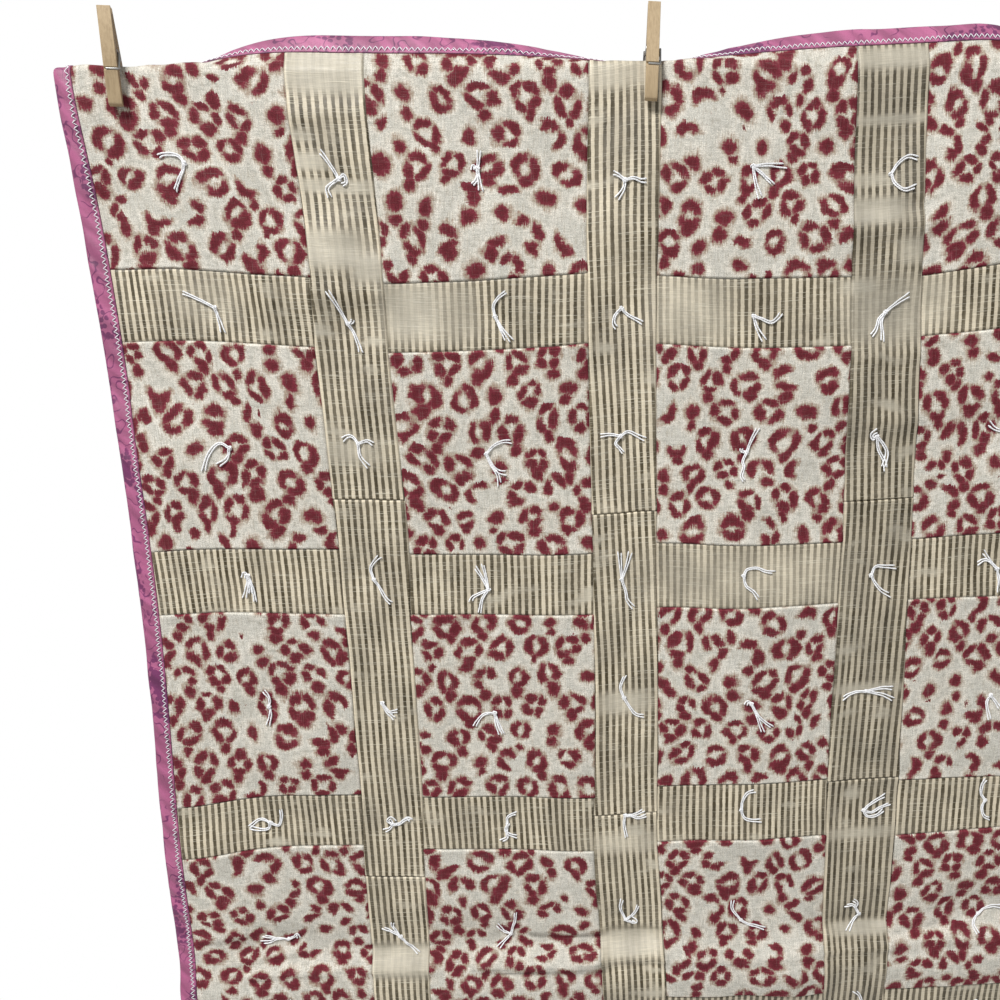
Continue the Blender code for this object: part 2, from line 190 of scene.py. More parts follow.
# In mm, how deep a seam lies and how far the cloth on its proud side stands out
SEAM_DEPTH = 0.75
SEAM_PROUD = 0.65

# The widest quads of a patch, and how far below the line the cloth needs short ones
PATCH_STEP = 3.0 * MM
BENT_UNTIL = 34 * MM

# How far each tie lies from the even grid, in mm (right, down), by row from the top
TIE_SHIFTS = (
    ((-2, 5), (3, 9), (-1, 2), (2, 15), (-4, 4), (-2, 13)),
    ((0, 0), (-2, 7), (7, 2), (0, 1), (-1, 6), (-2, 7)),
    ((-1, 0), (-2, -7), (-5, 1), (-2, -7), (-5, 5), (-5, -3)),
    ((3, -4), (2, -3), (-9, 6), (-3, 3), (-7, 0), (-4, 5), (-3, 7)),
    ((9, 1), (1, -3), (-9, 7), (-2, -2), (1, 4), (-2, 0), (-1, 11)),
    ((1, -1), (2, 2), (-2, 3), (0, -5), (-5, -5), (2, 4), (1, 3)),
    ((5, 11), (1, 6), (-4, 6), (-4, -4), (-5, -1), (1, 3), (3, 11)),
)

# The ties' rows, and their columns with one that falls in the margin, which has no ties
TIE_COLUMNS = 12
TIE_ROWS = 13
TIE_MARGIN = 20 * MM

# How far from a tie it draws the cloth in, and its dimple
TIE_REACH = 80 * MM
DIMPLE = 7 * MM

# Yarn
YARN = 1.15 * MM
KNOT_REACH = 1.7 * MM
STITCH_HALF = 2.6 * MM

# The zigzag sewing along the bindings
ZIGZAG_PITCH = 4.0 * MM
ZIGZAG_WIDTH = 2.9 * MM
ZIGZAG_MIDDLE = 2.1 * MM
THREAD = 0.80 * MM

# A clothes peg, as in the part's source
PEG_LENGTH = 67 * MM
PEG_WIDTH = 9.0 * MM
LEVER_THICK = 7.4 * MM
TIP_THICK = 4.8 * MM
LINE_FROM_TIP = 27.1 * MM
COIL_FROM_TIP = 37.7 * MM
WIRE_FROM_TIP = 22.9 * MM
HANDLE_TAPER = 5.4 * MM
JAW_OPENING = math.radians(12.5)
PIVOT_OFFSET = 2.2 * MM
COIL_RADIUS = 3.2 * MM
COIL_GROOVE = 4.4 * MM
COIL_TURNS = 4.5
COIL_STEPS = 54
WIRE = 1.5 * MM
WIRE_GROOVE = 1.4 * MM
GAP = 0.3 * MM


def smooth(value):
    value = np.clip(value, 0.0, 1.0)
    return value * value * (3 - 2 * value)


def bell(distance, reach):
    return np.exp(-((distance / reach) ** 2))


def ripple(u, v, step, seed):
    """Smooth noise from -1 to 1 over the cloth, with one random value for each step."""
    table = np.random.default_rng(seed).uniform(-1, 1, (96, 96))
    x, y = u / step + 17, v / step + 17
    column, row = np.floor(x).astype(int), np.floor(y).astype(int)
    across, down = smooth(x - column), smooth(y - row)
    left, right, up, low = column % 96, (column + 1) % 96, row % 96, (row + 1) % 96
    above = table[up, left] * (1 - across) + table[up, right] * across
    below = table[low, left] * (1 - across) + table[low, right] * across
    return above * (1 - down) + below * down


def press(u):
    """How strongly the nearest peg squeezes the cloth, 0 to 1."""
    away = np.min([abs(u - peg[0] * MM) for peg in PEGS], axis=0)
    return smooth((PRESS_REACH - away) / (PRESS_REACH - PRESS_FLAT))


def bend_start(u):
    """The place v on the cloth that lies at the line's height."""
    level = BEND_V + 0 * u
    for place, _, _, drawn, reach in PEGS:
        level = level + drawn * MM * bell(u - place * MM, reach * MM)
    return level


def turned(u):
    """How far back the cloth lies where the nearby pegs turn it."""
    back = 0 * u
    for place, _, turn, _, _ in PEGS:
        away = u - place * MM
        back = back + math.tan(math.radians(turn)) * away * bell(away, TURN_REACH)
    return back


def ledge_height(u, v):
    """How far the ledges stand out, each fading past its own ends."""
    rise = 0 * u
    for ledge in LEDGES:
        u_start, v_start, u_end, v_end, above, below, height = (value * MM for value in ledge)
        line = np.interp(u, (u_start, u_end), (v_start, v_end))
        beyond = np.maximum(np.maximum(u_start - u, u - u_end), 0)
        slope = np.where(v < line, 1 + (v - line) / above, 1 - (v - line) / below)
        rise = rise + height * smooth(slope) * smooth(1 - beyond / LEDGE_FADE)
    return rise


def squeeze(u, v):
    """How far the cloth is pressed at (u, v), which fades below the line."""
    return press(u) * np.exp(-np.maximum(0.0, v - bend_start(u)) / PRESS_DROP)


def standing(u):
    """How far the top edge stands up at u, from 0, folded over the line, to 1."""
    up = 0 * u
    for rise, risen, fall, fallen in STANDS:
        rising = smooth((u - rise * MM) / ((risen - rise) * MM))
        falling = smooth((fallen * MM - u) / ((fallen - fall) * MM))
        up = np.maximum(up, np.minimum(rising, falling))
    return up


def pull(u, v):
    """How far the cloth is drawn to the right and down."""
    right, down = 0 * u, 0 * u
    for place_u, place_v, reach_u, reach_v, move_right, move_down in PULLS:
        share = bell(u - place_u * MM, reach_u * MM) * bell(v - place_v * MM, reach_v * MM)
        right = right + share * move_right * MM
        down = down + share * move_down * MM
    return right, down


def fold_depth(u, v, folds):
    """How far those folds stand towards the front."""
    depth = 0 * u
    for fold in folds:
        u_start, v_start, u_end, v_end, half_width, height = (value * MM for value in fold)
        run_u, run_v = u_end - u_start, v_end - v_start
        along = ((u - u_start) * run_u + (v - v_start) * run_v) / (run_u * run_u + run_v * run_v)
        along = np.clip(along, 0.0, 1.0)
        off = np.hypot(u - u_start - along * run_u, v - v_start - along * run_v)
        depth = depth + height * bell(off, half_width)
    return depth


def sheet_point(u, v):
    """The middle of the sheet at (u, v), as it hangs, as in the part's source."""
    level = bend_start(u)
    below = np.maximum(0.0, v - level)
    above = np.maximum(0.0, level - v)
    right, down = pull(u, np.maximum(v, level))
    pressed = squeeze(u, v)
    radius = LOOSE_RADIUS + (TIGHT_RADIUS - LOOSE_RADIUS) * pressed
    turn = FOLDED_TURN + (STANDING_TURN - FOLDED_TURN) * standing(u)
    turn = turn + (PRESSED_TURN - turn) * pressed
    angle = np.minimum(above / radius, turn)
    rest = above - radius * angle
    hang = 1 - bell(below, FOLD_START)
    y = -radius * np.cos(angle) + rest * np.sin(angle) - fold_depth(u, v, FOLDS) * hang
    y = y + turned(u) * bell(below, TURN_DROP)
    z = PEG_LIFT * pressed + radius * np.sin(angle) + rest * np.cos(angle) - below - down
    return np.stack((u - WIDTH / 2 + right, y, z), axis=-1)


def sheet_normal(u, v):
    """The unit normal towards the pieced front."""
    step = 0.4 * MM
    across = sheet_point(u + step, v) - sheet_point(u - step, v)
    down = sheet_point(u, v + step) - sheet_point(u, v - step)
    normal = np.cross(down, across)
    return normal / np.linalg.norm(normal, axis=-1, keepdims=True)


def cloth(u, v, offset):
    """The place that far out from the middle of the sheet."""
    u, v = np.asarray(u, float), np.asarray(v, float)
    return sheet_point(u, v) + sheet_normal(u, v) * np.asarray(offset)[..., None]


def edge_distance(u, v):
    return np.minimum(np.minimum(u, WIDTH - u), np.minimum(v, HEIGHT - v))


def in_table(table, key):
    """What the table says of the tie at (row, column), if it has it."""
    row, column = key
    return table[row][column] if row < len(table) and column < len(table[row]) else None


def make_ties():
    """Every tie's place on the cloth, by (row, column)."""
    chance = np.random.default_rng(31)
    ties = {}
    for row in range(TIE_ROWS):
        for column in range(TIE_COLUMNS):
            drawn = chance.normal(0, 4.5, 2)
            shift = np.clip(in_table(TIE_SHIFTS, (row, column)) or drawn, -15, 25)
            u = FIRST_TIE + column * TIE_STEP + shift[0] * MM
            v = FIRST_TIE + row * TIE_STEP + shift[1] * MM
            if u < WIDTH - TIE_MARGIN and v < HEIGHT - TIE_MARGIN:
                ties[(row, column)] = (u, v)
    return ties


TIES = make_ties()


def near_ties(u, v):
    """How strongly the ties pinch and dimple the cloth at (u, v)."""
    pinch, dimple = 0 * u, 0 * u
    low_u, high_u, low_v, high_v = u.min(), u.max(), v.min(), v.max()
    for tie_u, tie_v in TIES.values():
        beyond_u = max(low_u - tie_u, tie_u - high_u)
        beyond_v = max(low_v - tie_v, tie_v - high_v)
        if max(beyond_u, beyond_v) > TIE_REACH:
            continue
        away = np.hypot(u - tie_u, v - tie_v)
        pinch = pinch + bell(away, TIE_STEP * 0.3)
        turn = np.arctan2(v - tie_v, u - tie_u)
        rays = 1 + 0.45 * np.cos(5 * turn + 40 * tie_u) * smooth(away / (6 * MM))
        dimple = dimple + bell(away, DIMPLE) * rays
    return np.minimum(pinch, 1), dimple


def half_thickness(u, v):
    """Half the padding's thickness: full between ties, thin at the ties, the edges and the pegs."""
    pinch, dimple = near_ties(u, v)
    inner = PUFF - (PUFF - TIE_PINCH) * pinch - 0.7 * MM * dimple
    inside = smooth(edge_distance(u, v) / EDGE_FADE)
    half = EDGE_HALF + (inner - EDGE_HALF) * inside
    return half + (PEG_HALF - half) * squeeze(u, v)


def looseness(u, v):
    """How freely the cloth puckers, which fades towards its edges and under the pegs."""
    return (1 - squeeze(u, v)) * smooth(edge_distance(u, v) / (12 * MM))


def front_height(u, v):
    """How far the pieced front stands out from the middle of the sheet."""
    waves = 1.2 * MM * ripple(u, v, 40 * MM, 3) + 0.5 * MM * ripple(u, v, 17 * MM, 4)
    waves = waves + 0.18 * MM * ripple(u, v, 7 * MM, 5) + fold_depth(u, v, CREASES) + ledge_height(u, v)
    return half_thickness(u, v) + waves * looseness(u, v)


def back_height(u, v):
    waves = 0.8 * MM * ripple(u, v, 38 * MM, 8) + 0.3 * MM * ripple(u, v, 15 * MM, 9)
    return half_thickness(u, v) + waves * looseness(u, v)


def seam_rise(distance, proud):
    """The height beside a seam, which is prouder on the side that the allowances are pressed under."""
    if proud:
        ridge = 1.4 * smooth(distance / (1.1 * MM)) - SEAM_DEPTH
        return (ridge - SEAM_PROUD * smooth((distance - 3 * MM) / (5 * MM))) * MM
    return (SEAM_DEPTH * smooth(distance / (1.4 * MM)) - SEAM_DEPTH) * MM


def painted_sheen(u, v):
    """How much painted sheen washes out the stripes' contrast at (u, v)."""
    painted_sheen_share = 0 * u
    for wash_u, wash_v, reach_u, reach_v, strength in PAINTED_SHEEN_SPOTS:
        far = ((u - wash_u * MM) / (reach_u * MM)) ** 4 + ((v - wash_v * MM) / (reach_v * MM)) ** 4
        painted_sheen_share = np.maximum(painted_sheen_share, strength * np.exp(-0.7 * far))
    return painted_sheen_share


def link_object(name, data):
    made = bpy.data.objects.new(name, data)
    bpy.context.scene.collection.objects.link(made)
    return made


def add_mesh(name, points, faces, materials, uv, face_material=None, painted_light_and_tone=None):
    """A smooth mesh from numpy arrays. faces has one row of corner numbers for each quad."""
    points = np.asarray(points, np.float32).reshape(-1, 3)
    data = bpy.data.meshes.new(name)
    data.vertices.add(len(points))
    data.vertices.foreach_set("co", points.ravel())
    size = faces.shape[1]
    data.loops.add(faces.size)
    data.loops.foreach_set("vertex_index", faces.astype(np.int32).ravel())
    data.polygons.add(len(faces))
    data.polygons.foreach_set("loop_start", np.arange(0, faces.size, size, dtype=np.int32))
    for made in materials:
        data.materials.append(made)
    if face_material is not None:
        data.polygons.foreach_set("material_index", np.asarray(face_material, np.int32))
    # The second UV layer holds the painted sheen, and the patch tone with the seams' painted shade and
    # highlights.
    for layer_name, values in (("cloth", uv), ("painted_light_and_tone", painted_light_and_tone)):
        if values is not None:
            layer = data.uv_layers.new(name=layer_name)
            values = np.asarray(values, np.float32).reshape(-1, 2)
            layer.data.foreach_set("uv", values[faces.ravel()].ravel())
    data.update(calc_edges=True)
    data.validate()
    data.shade_smooth()
    return link_object(name, data)


def grid_faces(rows, columns):
    """Quads over a grid of rows times columns points, facing the front when rows run down."""
    number = np.arange(rows * columns).reshape(rows, columns)
    corners = (number[:-1, :-1], number[1:, :-1], number[1:, 1:], number[:-1, 1:])
    return np.stack([corner.ravel() for corner in corners], axis=1)


class Bundle:
    """Collects grids and tubes into one mesh."""

    def __init__(self):
        self.points, self.faces, self.uvs, self.kinds, self.painted_light_and_tones = [], [], [], [], []
        self.count = 0

    def add(self, points, faces, uv, kind=0, painted_light_and_tone=None):
        self.points.append(points.reshape(-1, 3))
        self.faces.append(faces + self.count)
        self.uvs.append(uv.reshape(-1, 2))
        self.kinds.append(np.full(len(faces), kind))
        if painted_light_and_tone is not None:
            self.painted_light_and_tones.append(painted_light_and_tone.reshape(-1, 2))
        self.count += points.size // 3

    def build(self, name, materials):
        points, faces, uvs, kinds = map(np.concatenate, (self.points, self.faces, self.uvs, self.kinds))
        painted_light_and_tone = np.concatenate(self.painted_light_and_tones) if self.painted_light_and_tones else None
        return add_mesh(name, points, faces, materials, uvs, kinds, painted_light_and_tone)


# Patches
def fill_joins():
    """Crossings that the table leaves out get a small seeded shift."""
    chance = np.random.default_rng(12)
    joins = {}
    for row, shifts in JOINS.items():
        joins.update({(column, row): shift for column, shift in zip(JOIN_COLUMNS, shifts) if shift})
    for column in range(COLUMNS):
        for side in (0, BLOCK):
            for row in range(ROWS):
                for end in (0, BLOCK):
                    key = (column * PITCH + side, row * PITCH + end)
                    joins.setdefault(key, tuple(chance.normal(0, 1.6, 2)))
    return joins


ALL_JOINS = fill_joins()
SEAM_ROWS = [row * PITCH + end for row in range(ROWS) for end in (0, BLOCK)][1:-1]


def upright_seam(inch, v):
    """The u of the seam that runs down at that column inch."""
    edge = 0 if inch in (0, COLUMNS * PITCH - SASH) else 1
    shifts = [ALL_JOINS[(inch, row)][0] * edge for row in SEAM_ROWS]
    wobble = edge * 0.35 * MM * ripple(v, inch * INCH + 0 * v, 31 * MM, 40 + inch)
    return inch * INCH + np.interp(v, np.array(SEAM_ROWS) * INCH, np.array(shifts) * MM) + wobble


def level_seam(column, inch, u):
    """The v of the seam that runs across a block column at that row inch."""
    left, right = column * PITCH, column * PITCH + BLOCK
    ends = (ALL_JOINS[(left, inch)][1] * MM, ALL_JOINS[(right, inch)][1] * MM)
    wobble = 0.35 * MM * ripple(u, inch * INCH + 0 * u, 27 * MM, 70 + inch)
    return inch * INCH + np.interp(u, (left * INCH, right * INCH), ends) + wobble


def stations(length, start_seam, end_seam, fine_until=0.0):
    """Distances along one side of a patch, closer together beside its seams and where it bends over."""
    beside = [-0.3 * MM, 0.1 * MM, 0.6 * MM, 1.1 * MM, 1.8 * MM, 3.2 * MM]
    marks = list(beside) if start_seam else [0.0]
    if fine_until:
        marks += list(np.arange(1.1 * MM, fine_until, 1.1 * MM))
    last = beside[-1] if end_seam else 0.0
    count = max(2, round((length - last - marks[-1]) / PATCH_STEP))
    marks += list(np.linspace(marks[-1], length - last, count + 1)[1:])
    if end_seam:
        marks += [length - value for value in reversed(beside[:-1])]
    return np.array(marks)


def patch_uv(u, v, chance):
    """Pattern coordinates in metres, with the patch's own place and slight turn in the print."""
    turn = math.radians(chance.normal(0, 0.9))
    shift = chance.uniform(0, 2, 2)
    x = u * math.cos(turn) + v * math.sin(turn)
    y = v * math.cos(turn) - u * math.sin(turn)
    return np.stack((x + shift[0], y + shift[1]), axis=-1)


def puckers(distance, along, seed):
    """Small ripples where a seam draws the cloth up."""
    return 0.22 * MM * ripple(along, 0 * along + seed * INCH, 6 * MM, seed) * bell(distance, 6 * MM)


def add_patch(bundle, left, right, top, bottom, proud, chance, kind, tone=1.0):
    """One patch between two column inches. top and bottom each have an inch, and its seam or None.

    proud says whether the patch stands out at its sides, and at its top and bottom.
    """
    (top_inch, top_seam), (bottom_inch, bottom_seam) = top, bottom
    height = (bottom_inch - top_inch) * INCH
    width = (right - left) * INCH
    seams_beside = (left > 0, right < COLUMNS * PITCH - SASH)
    fine = BENT_UNTIL if top_inch == 0 else 0.0
    across = stations(width, *seams_beside)
    down = stations(height, top_seam is not None, bottom_seam is not None, fine)
    s, t = np.meshgrid(across, down)
    u, v = left * INCH + s, top_inch * INCH + t
    for _ in range(3):
        low = top_seam(u) if top_seam else top_inch * INCH + 0 * u
        high = bottom_seam(u) if bottom_seam else bottom_inch * INCH + 0 * u
        v = low + t * (high - low) / height
        near, far = upright_seam(left, v), upright_seam(right, v)
        u = near + s * (far - near) / width
    rise = front_height(u, v)
    sides = (
        (seams_beside[0], s, v, left, proud[0]),
        (seams_beside[1], width - s, v, right, proud[0]),
        (top_seam, t, u, round(top_inch) + 100, proud[1]),
        (bottom_seam, height - t, u, round(bottom_inch) + 100, proud[1]),
    )
    loose = 1 - squeeze(u, v)
    seams = 0 * u
    tone = tone + 0 * u
    for seam, distance, along, seed, stands in sides:
        if not seam:
            continue
        seams = seams + seam_rise(distance, stands)
        # Painted shade: a dark line along each seam, where its shadow falls.
        tone = tone * (1 - 0.40 * bell(distance + 0.1 * MM, 0.5 * MM))
        # Painted highlight: a pale line along a seam's proud edge, where it catches the light.
        if stands:
            tone = tone * (1 + 0.26 * bell(distance - 1.0 * MM, 0.7 * MM))
        rise = rise + puckers(np.maximum(distance, 0), along, seed) * loose
    seams = 0.1 * MM + np.clip(seams, -SEAM_DEPTH * MM, SEAM_PROUD * MM)
    rise = rise + seams * (0.3 + 0.7 * loose) * smooth((edge_distance(u, v) + 1 * MM) / (9 * MM))
    uv = patch_uv(u, v, chance)
    # The painted sheen, and the tone with its painted seam shade and highlights, go to the second UV layer.
    painted_light_and_tone = np.stack((painted_sheen(u, v), tone), axis=-1)
    bundle.add(cloth(u, v, rise), grid_faces(len(down), len(across)), uv, kind, painted_light_and_tone)


def seam_function(column, inch):
    """A block column's seam at that row inch, as v from u."""
    return lambda u: level_seam(column, inch, u)


def make_block_column(column, materials):
    """Blocks and the short sashes between them."""
    chance = np.random.default_rng(200 + column)
    bundle = Bundle()
    left, right = column * PITCH, column * PITCH + BLOCK
    for row in range(ROWS):
        top, bottom = row * PITCH, row * PITCH + BLOCK
        start = (top, seam_function(column, top) if row else None)
        end = (bottom, seam_function(column, bottom) if row < ROWS - 1 else None)
        add_patch(bundle, left, right, start, end, (False, True), chance, 0)
        if row < ROWS - 1:
            below = bottom + SASH
            start = (bottom, seam_function(column, bottom))
            end = (below, seam_function(column, below))
            tone = chance.normal(0.96, 0.03)
            add_patch(bundle, left, right, start, end, (False, False), chance, 1, tone)
    return bundle.build(f"patch_column_{column + 1}", materials)


def join_function(join, seed):
    """A long sash's join at that v, as v from u."""
    return lambda u: join + 0.4 * MM * ripple(u, 0 * u, 14 * MM, seed)


def make_long_sash(number, material):
    """A sash that runs the quilt's whole height, joined from shorter strips."""
    chance = np.random.default_rng(300 + number)
    bundle = Bundle()
    left, right = number * PITCH + BLOCK, (number + 1) * PITCH
    joins = [0.0] + [value * MM for value in SASH_JOINS[number]] + [HEIGHT]
    for index, (high, low) in enumerate(zip(joins, joins[1:])):
        start = (high / INCH, join_function(high, 60 + index) if index else None)
        end = (low / INCH, join_function(low, 61 + index) if low < HEIGHT else None)
        tone = SASH_TONES[number] * chance.normal(1.0, 0.025)
        add_patch(bundle, left, right, start, end, (True, True), chance, 0, tone)
    return bundle.build(f"long_sash_{number + 1}", [material])


def make_backing(material):
    across = np.linspace(0, WIDTH, 205)
    down = np.concatenate((np.arange(0, BENT_UNTIL, 1.5 * MM), np.linspace(BENT_UNTIL, HEIGHT, 235)))
    u, v = np.meshgrid(across, down)
    points = cloth(u, v, -back_height(u, v))
    faces = grid_faces(len(down), len(across))[:, ::-1]
    return add_mesh("quilt_backing", points, faces, [material], np.stack((u, v), axis=-1))


# Binding
def binding_profile():
    """The folded strip's section: distance out from its seam, share of its front or back height."""
    front = [(-1.0, 0.02), (-0.8, 0.45), (-0.3, 0.62), (0.4, 0.62), (1.4, 0.98), (3.0, 1.0), (5.4, 1.0)]
    front += [(7.8, 0.97), (10.0, 0.9), (11.8, 0.74), (13.0, 0.46), (13.6, 0.2)]
    back = [(outward, -share) for outward, share in reversed(front)]
    return front + [(13.8, 0.0)] + back


BINDING_SIDES = ("top", "bottom", "left", "right")
LEVEL_SIDES = ("top", "bottom")


def binding_place(along, outward, side):
    """The place (u, v) that far along one side of the quilt and that far out from its seam."""
    if side in LEVEL_SIDES:
        return along, -outward if side == "top" else HEIGHT + outward
    return -outward if side == "left" else WIDTH + outward, along


def binding_surface(along, outward, side, front):
    """Two heights from the middle of the sheet: the patches' at the nearest place, and the binding's."""
    u, v = binding_place(along, outward, side)
    height = front_height if front else back_height
    full = BINDING_HALF + (BINDING_PRESSED - BINDING_HALF) * squeeze(u, v)
    return height(np.clip(u, 0, WIDTH), np.clip(v, 0, HEIGHT)), full


def binding_puckers(along, outward, side):
    """Diagonal drag lines in the binding, deepest low down on the sides."""
    seed = 80 + BINDING_SIDES.index(side)
    deep = 0.45 if side in LEVEL_SIDES else 1.5 + 0.5 * smooth((along - 430 * MM) / (200 * MM))
    lines = ripple(along + 1.2 * outward, 0.5 * outward, 9 * MM, seed)
    wide = ripple(along, outward, 23 * MM, seed + 10)
    return (lines * deep + 0.45 * wide) * MM * smooth(outward / (2.5 * MM))


def make_binding(side, material):
    ends = (-BINDING, WIDTH + BINDING) if side in LEVEL_SIDES else (0.2 * MM, HEIGHT - 0.2 * MM)
    count = round((ends[1] - ends[0]) / (2.2 * MM))
    along = np.linspace(ends[0], ends[1], count)
    profile = binding_profile()
    width = 1 + 0.035 * ripple(along, 0 * along, 24 * MM, 90 + BINDING_SIDES.index(side))
    points = []
    for outward, share in profile:
        out = np.full(count, outward * MM)
        out = np.where(out > 4 * MM, out * width, out)
        inner, full = binding_surface(along, out, side, share > 0)
        if outward < 0.5:
            half = inner + (0.05 + 0.9 * abs(share)) * MM
        else:
            half = (full + binding_puckers(along, out, side)) * abs(share)
        if side in LEVEL_SIDES:
            from_end = np.minimum(along - ends[0], ends[1] - along)
            half = half * np.sqrt(np.clip(1 - (1 - from_end / (1.8 * MM)).clip(0, 1) ** 2, 0.02, 1))
        u, v = binding_place(along, out, side)
        points.append(cloth(u, v, half if share > 0 else -half))
    points = np.array(points)
    steps = np.linalg.norm(np.diff(points, axis=0), axis=2).mean(axis=1)
    girth = np.concatenate(([0.0], np.cumsum(steps)))
    uv = np.stack(np.meshgrid(along, girth), axis=-1)
    faces = grid_faces(len(profile), count)
    if side in ("top", "right"):
        faces = faces[:, ::-1]
    return add_mesh(f"binding_{side}_cloth", points, faces, [material], uv)


# Threads and yarn
def tube(points, radius, sides, closed=False):
    """A round tube along points. Returns its corner points, quads and (along, round) coordinates."""
    points = np.asarray(points)
    count = len(points)
    ahead = np.gradient(points, axis=0)
    if closed:
        ahead = np.roll(points, -1, axis=0) - np.roll(points, 1, axis=0)
    ahead = ahead / np.linalg.norm(ahead, axis=1, keepdims=True)
    up = np.array((0.0, -1.0, 0.0))
    if abs(ahead[0] @ up) > 0.9:
        up = np.array((1.0, 0.0, 0.0))
    rings = []
    spread = np.broadcast_to(np.asarray(radius), (count,))
    turns = np.arange(sides) * 2 * math.pi / sides
    for place, forward, wide in zip(points, ahead, spread):
        up = up - forward * (up @ forward)
        up = up / np.linalg.norm(up)
        across = np.cross(forward, up)
        rings.append(place + wide * (np.cos(turns)[:, None] * up + np.sin(turns)[:, None] * across))
    number = np.arange(count * sides).reshape(count, sides)
    following = np.roll(number, -1, axis=0) if closed else number[1:]
    first = number if closed else number[:-1]
    corners = (first, np.roll(first, -1, axis=1), np.roll(following, -1, axis=1), following)
    faces = np.stack([corner.ravel() for corner in corners], axis=1)
    lengths = np.concatenate(([0.0], np.cumsum(np.linalg.norm(np.diff(points, axis=0), axis=1))))
    uv = np.stack(np.meshgrid(lengths, turns * float(np.max(radius)), indexing="ij"), axis=-1)
    return np.array(rings), faces, uv


def soften(points, count):
    """A smooth open curve through points, as that many points."""
    points = np.asarray(points, float)
    ends = np.concatenate((2 * points[:1] - points[1:2], points, 2 * points[-1:] - points[-2:-1]))
    result = []
    for place in np.linspace(0, len(points) - 1, count):
        index = min(int(place), len(points) - 2)
        share = place - index
        a, b, c, d = ends[index : index + 4]
        curve = 2 * b + (c - a) * share + (2 * a - 5 * b + 4 * c - d) * share ** 2
        result.append(0.5 * (curve + (3 * b - a - 3 * c + d) * share ** 3))
    return np.array(result)


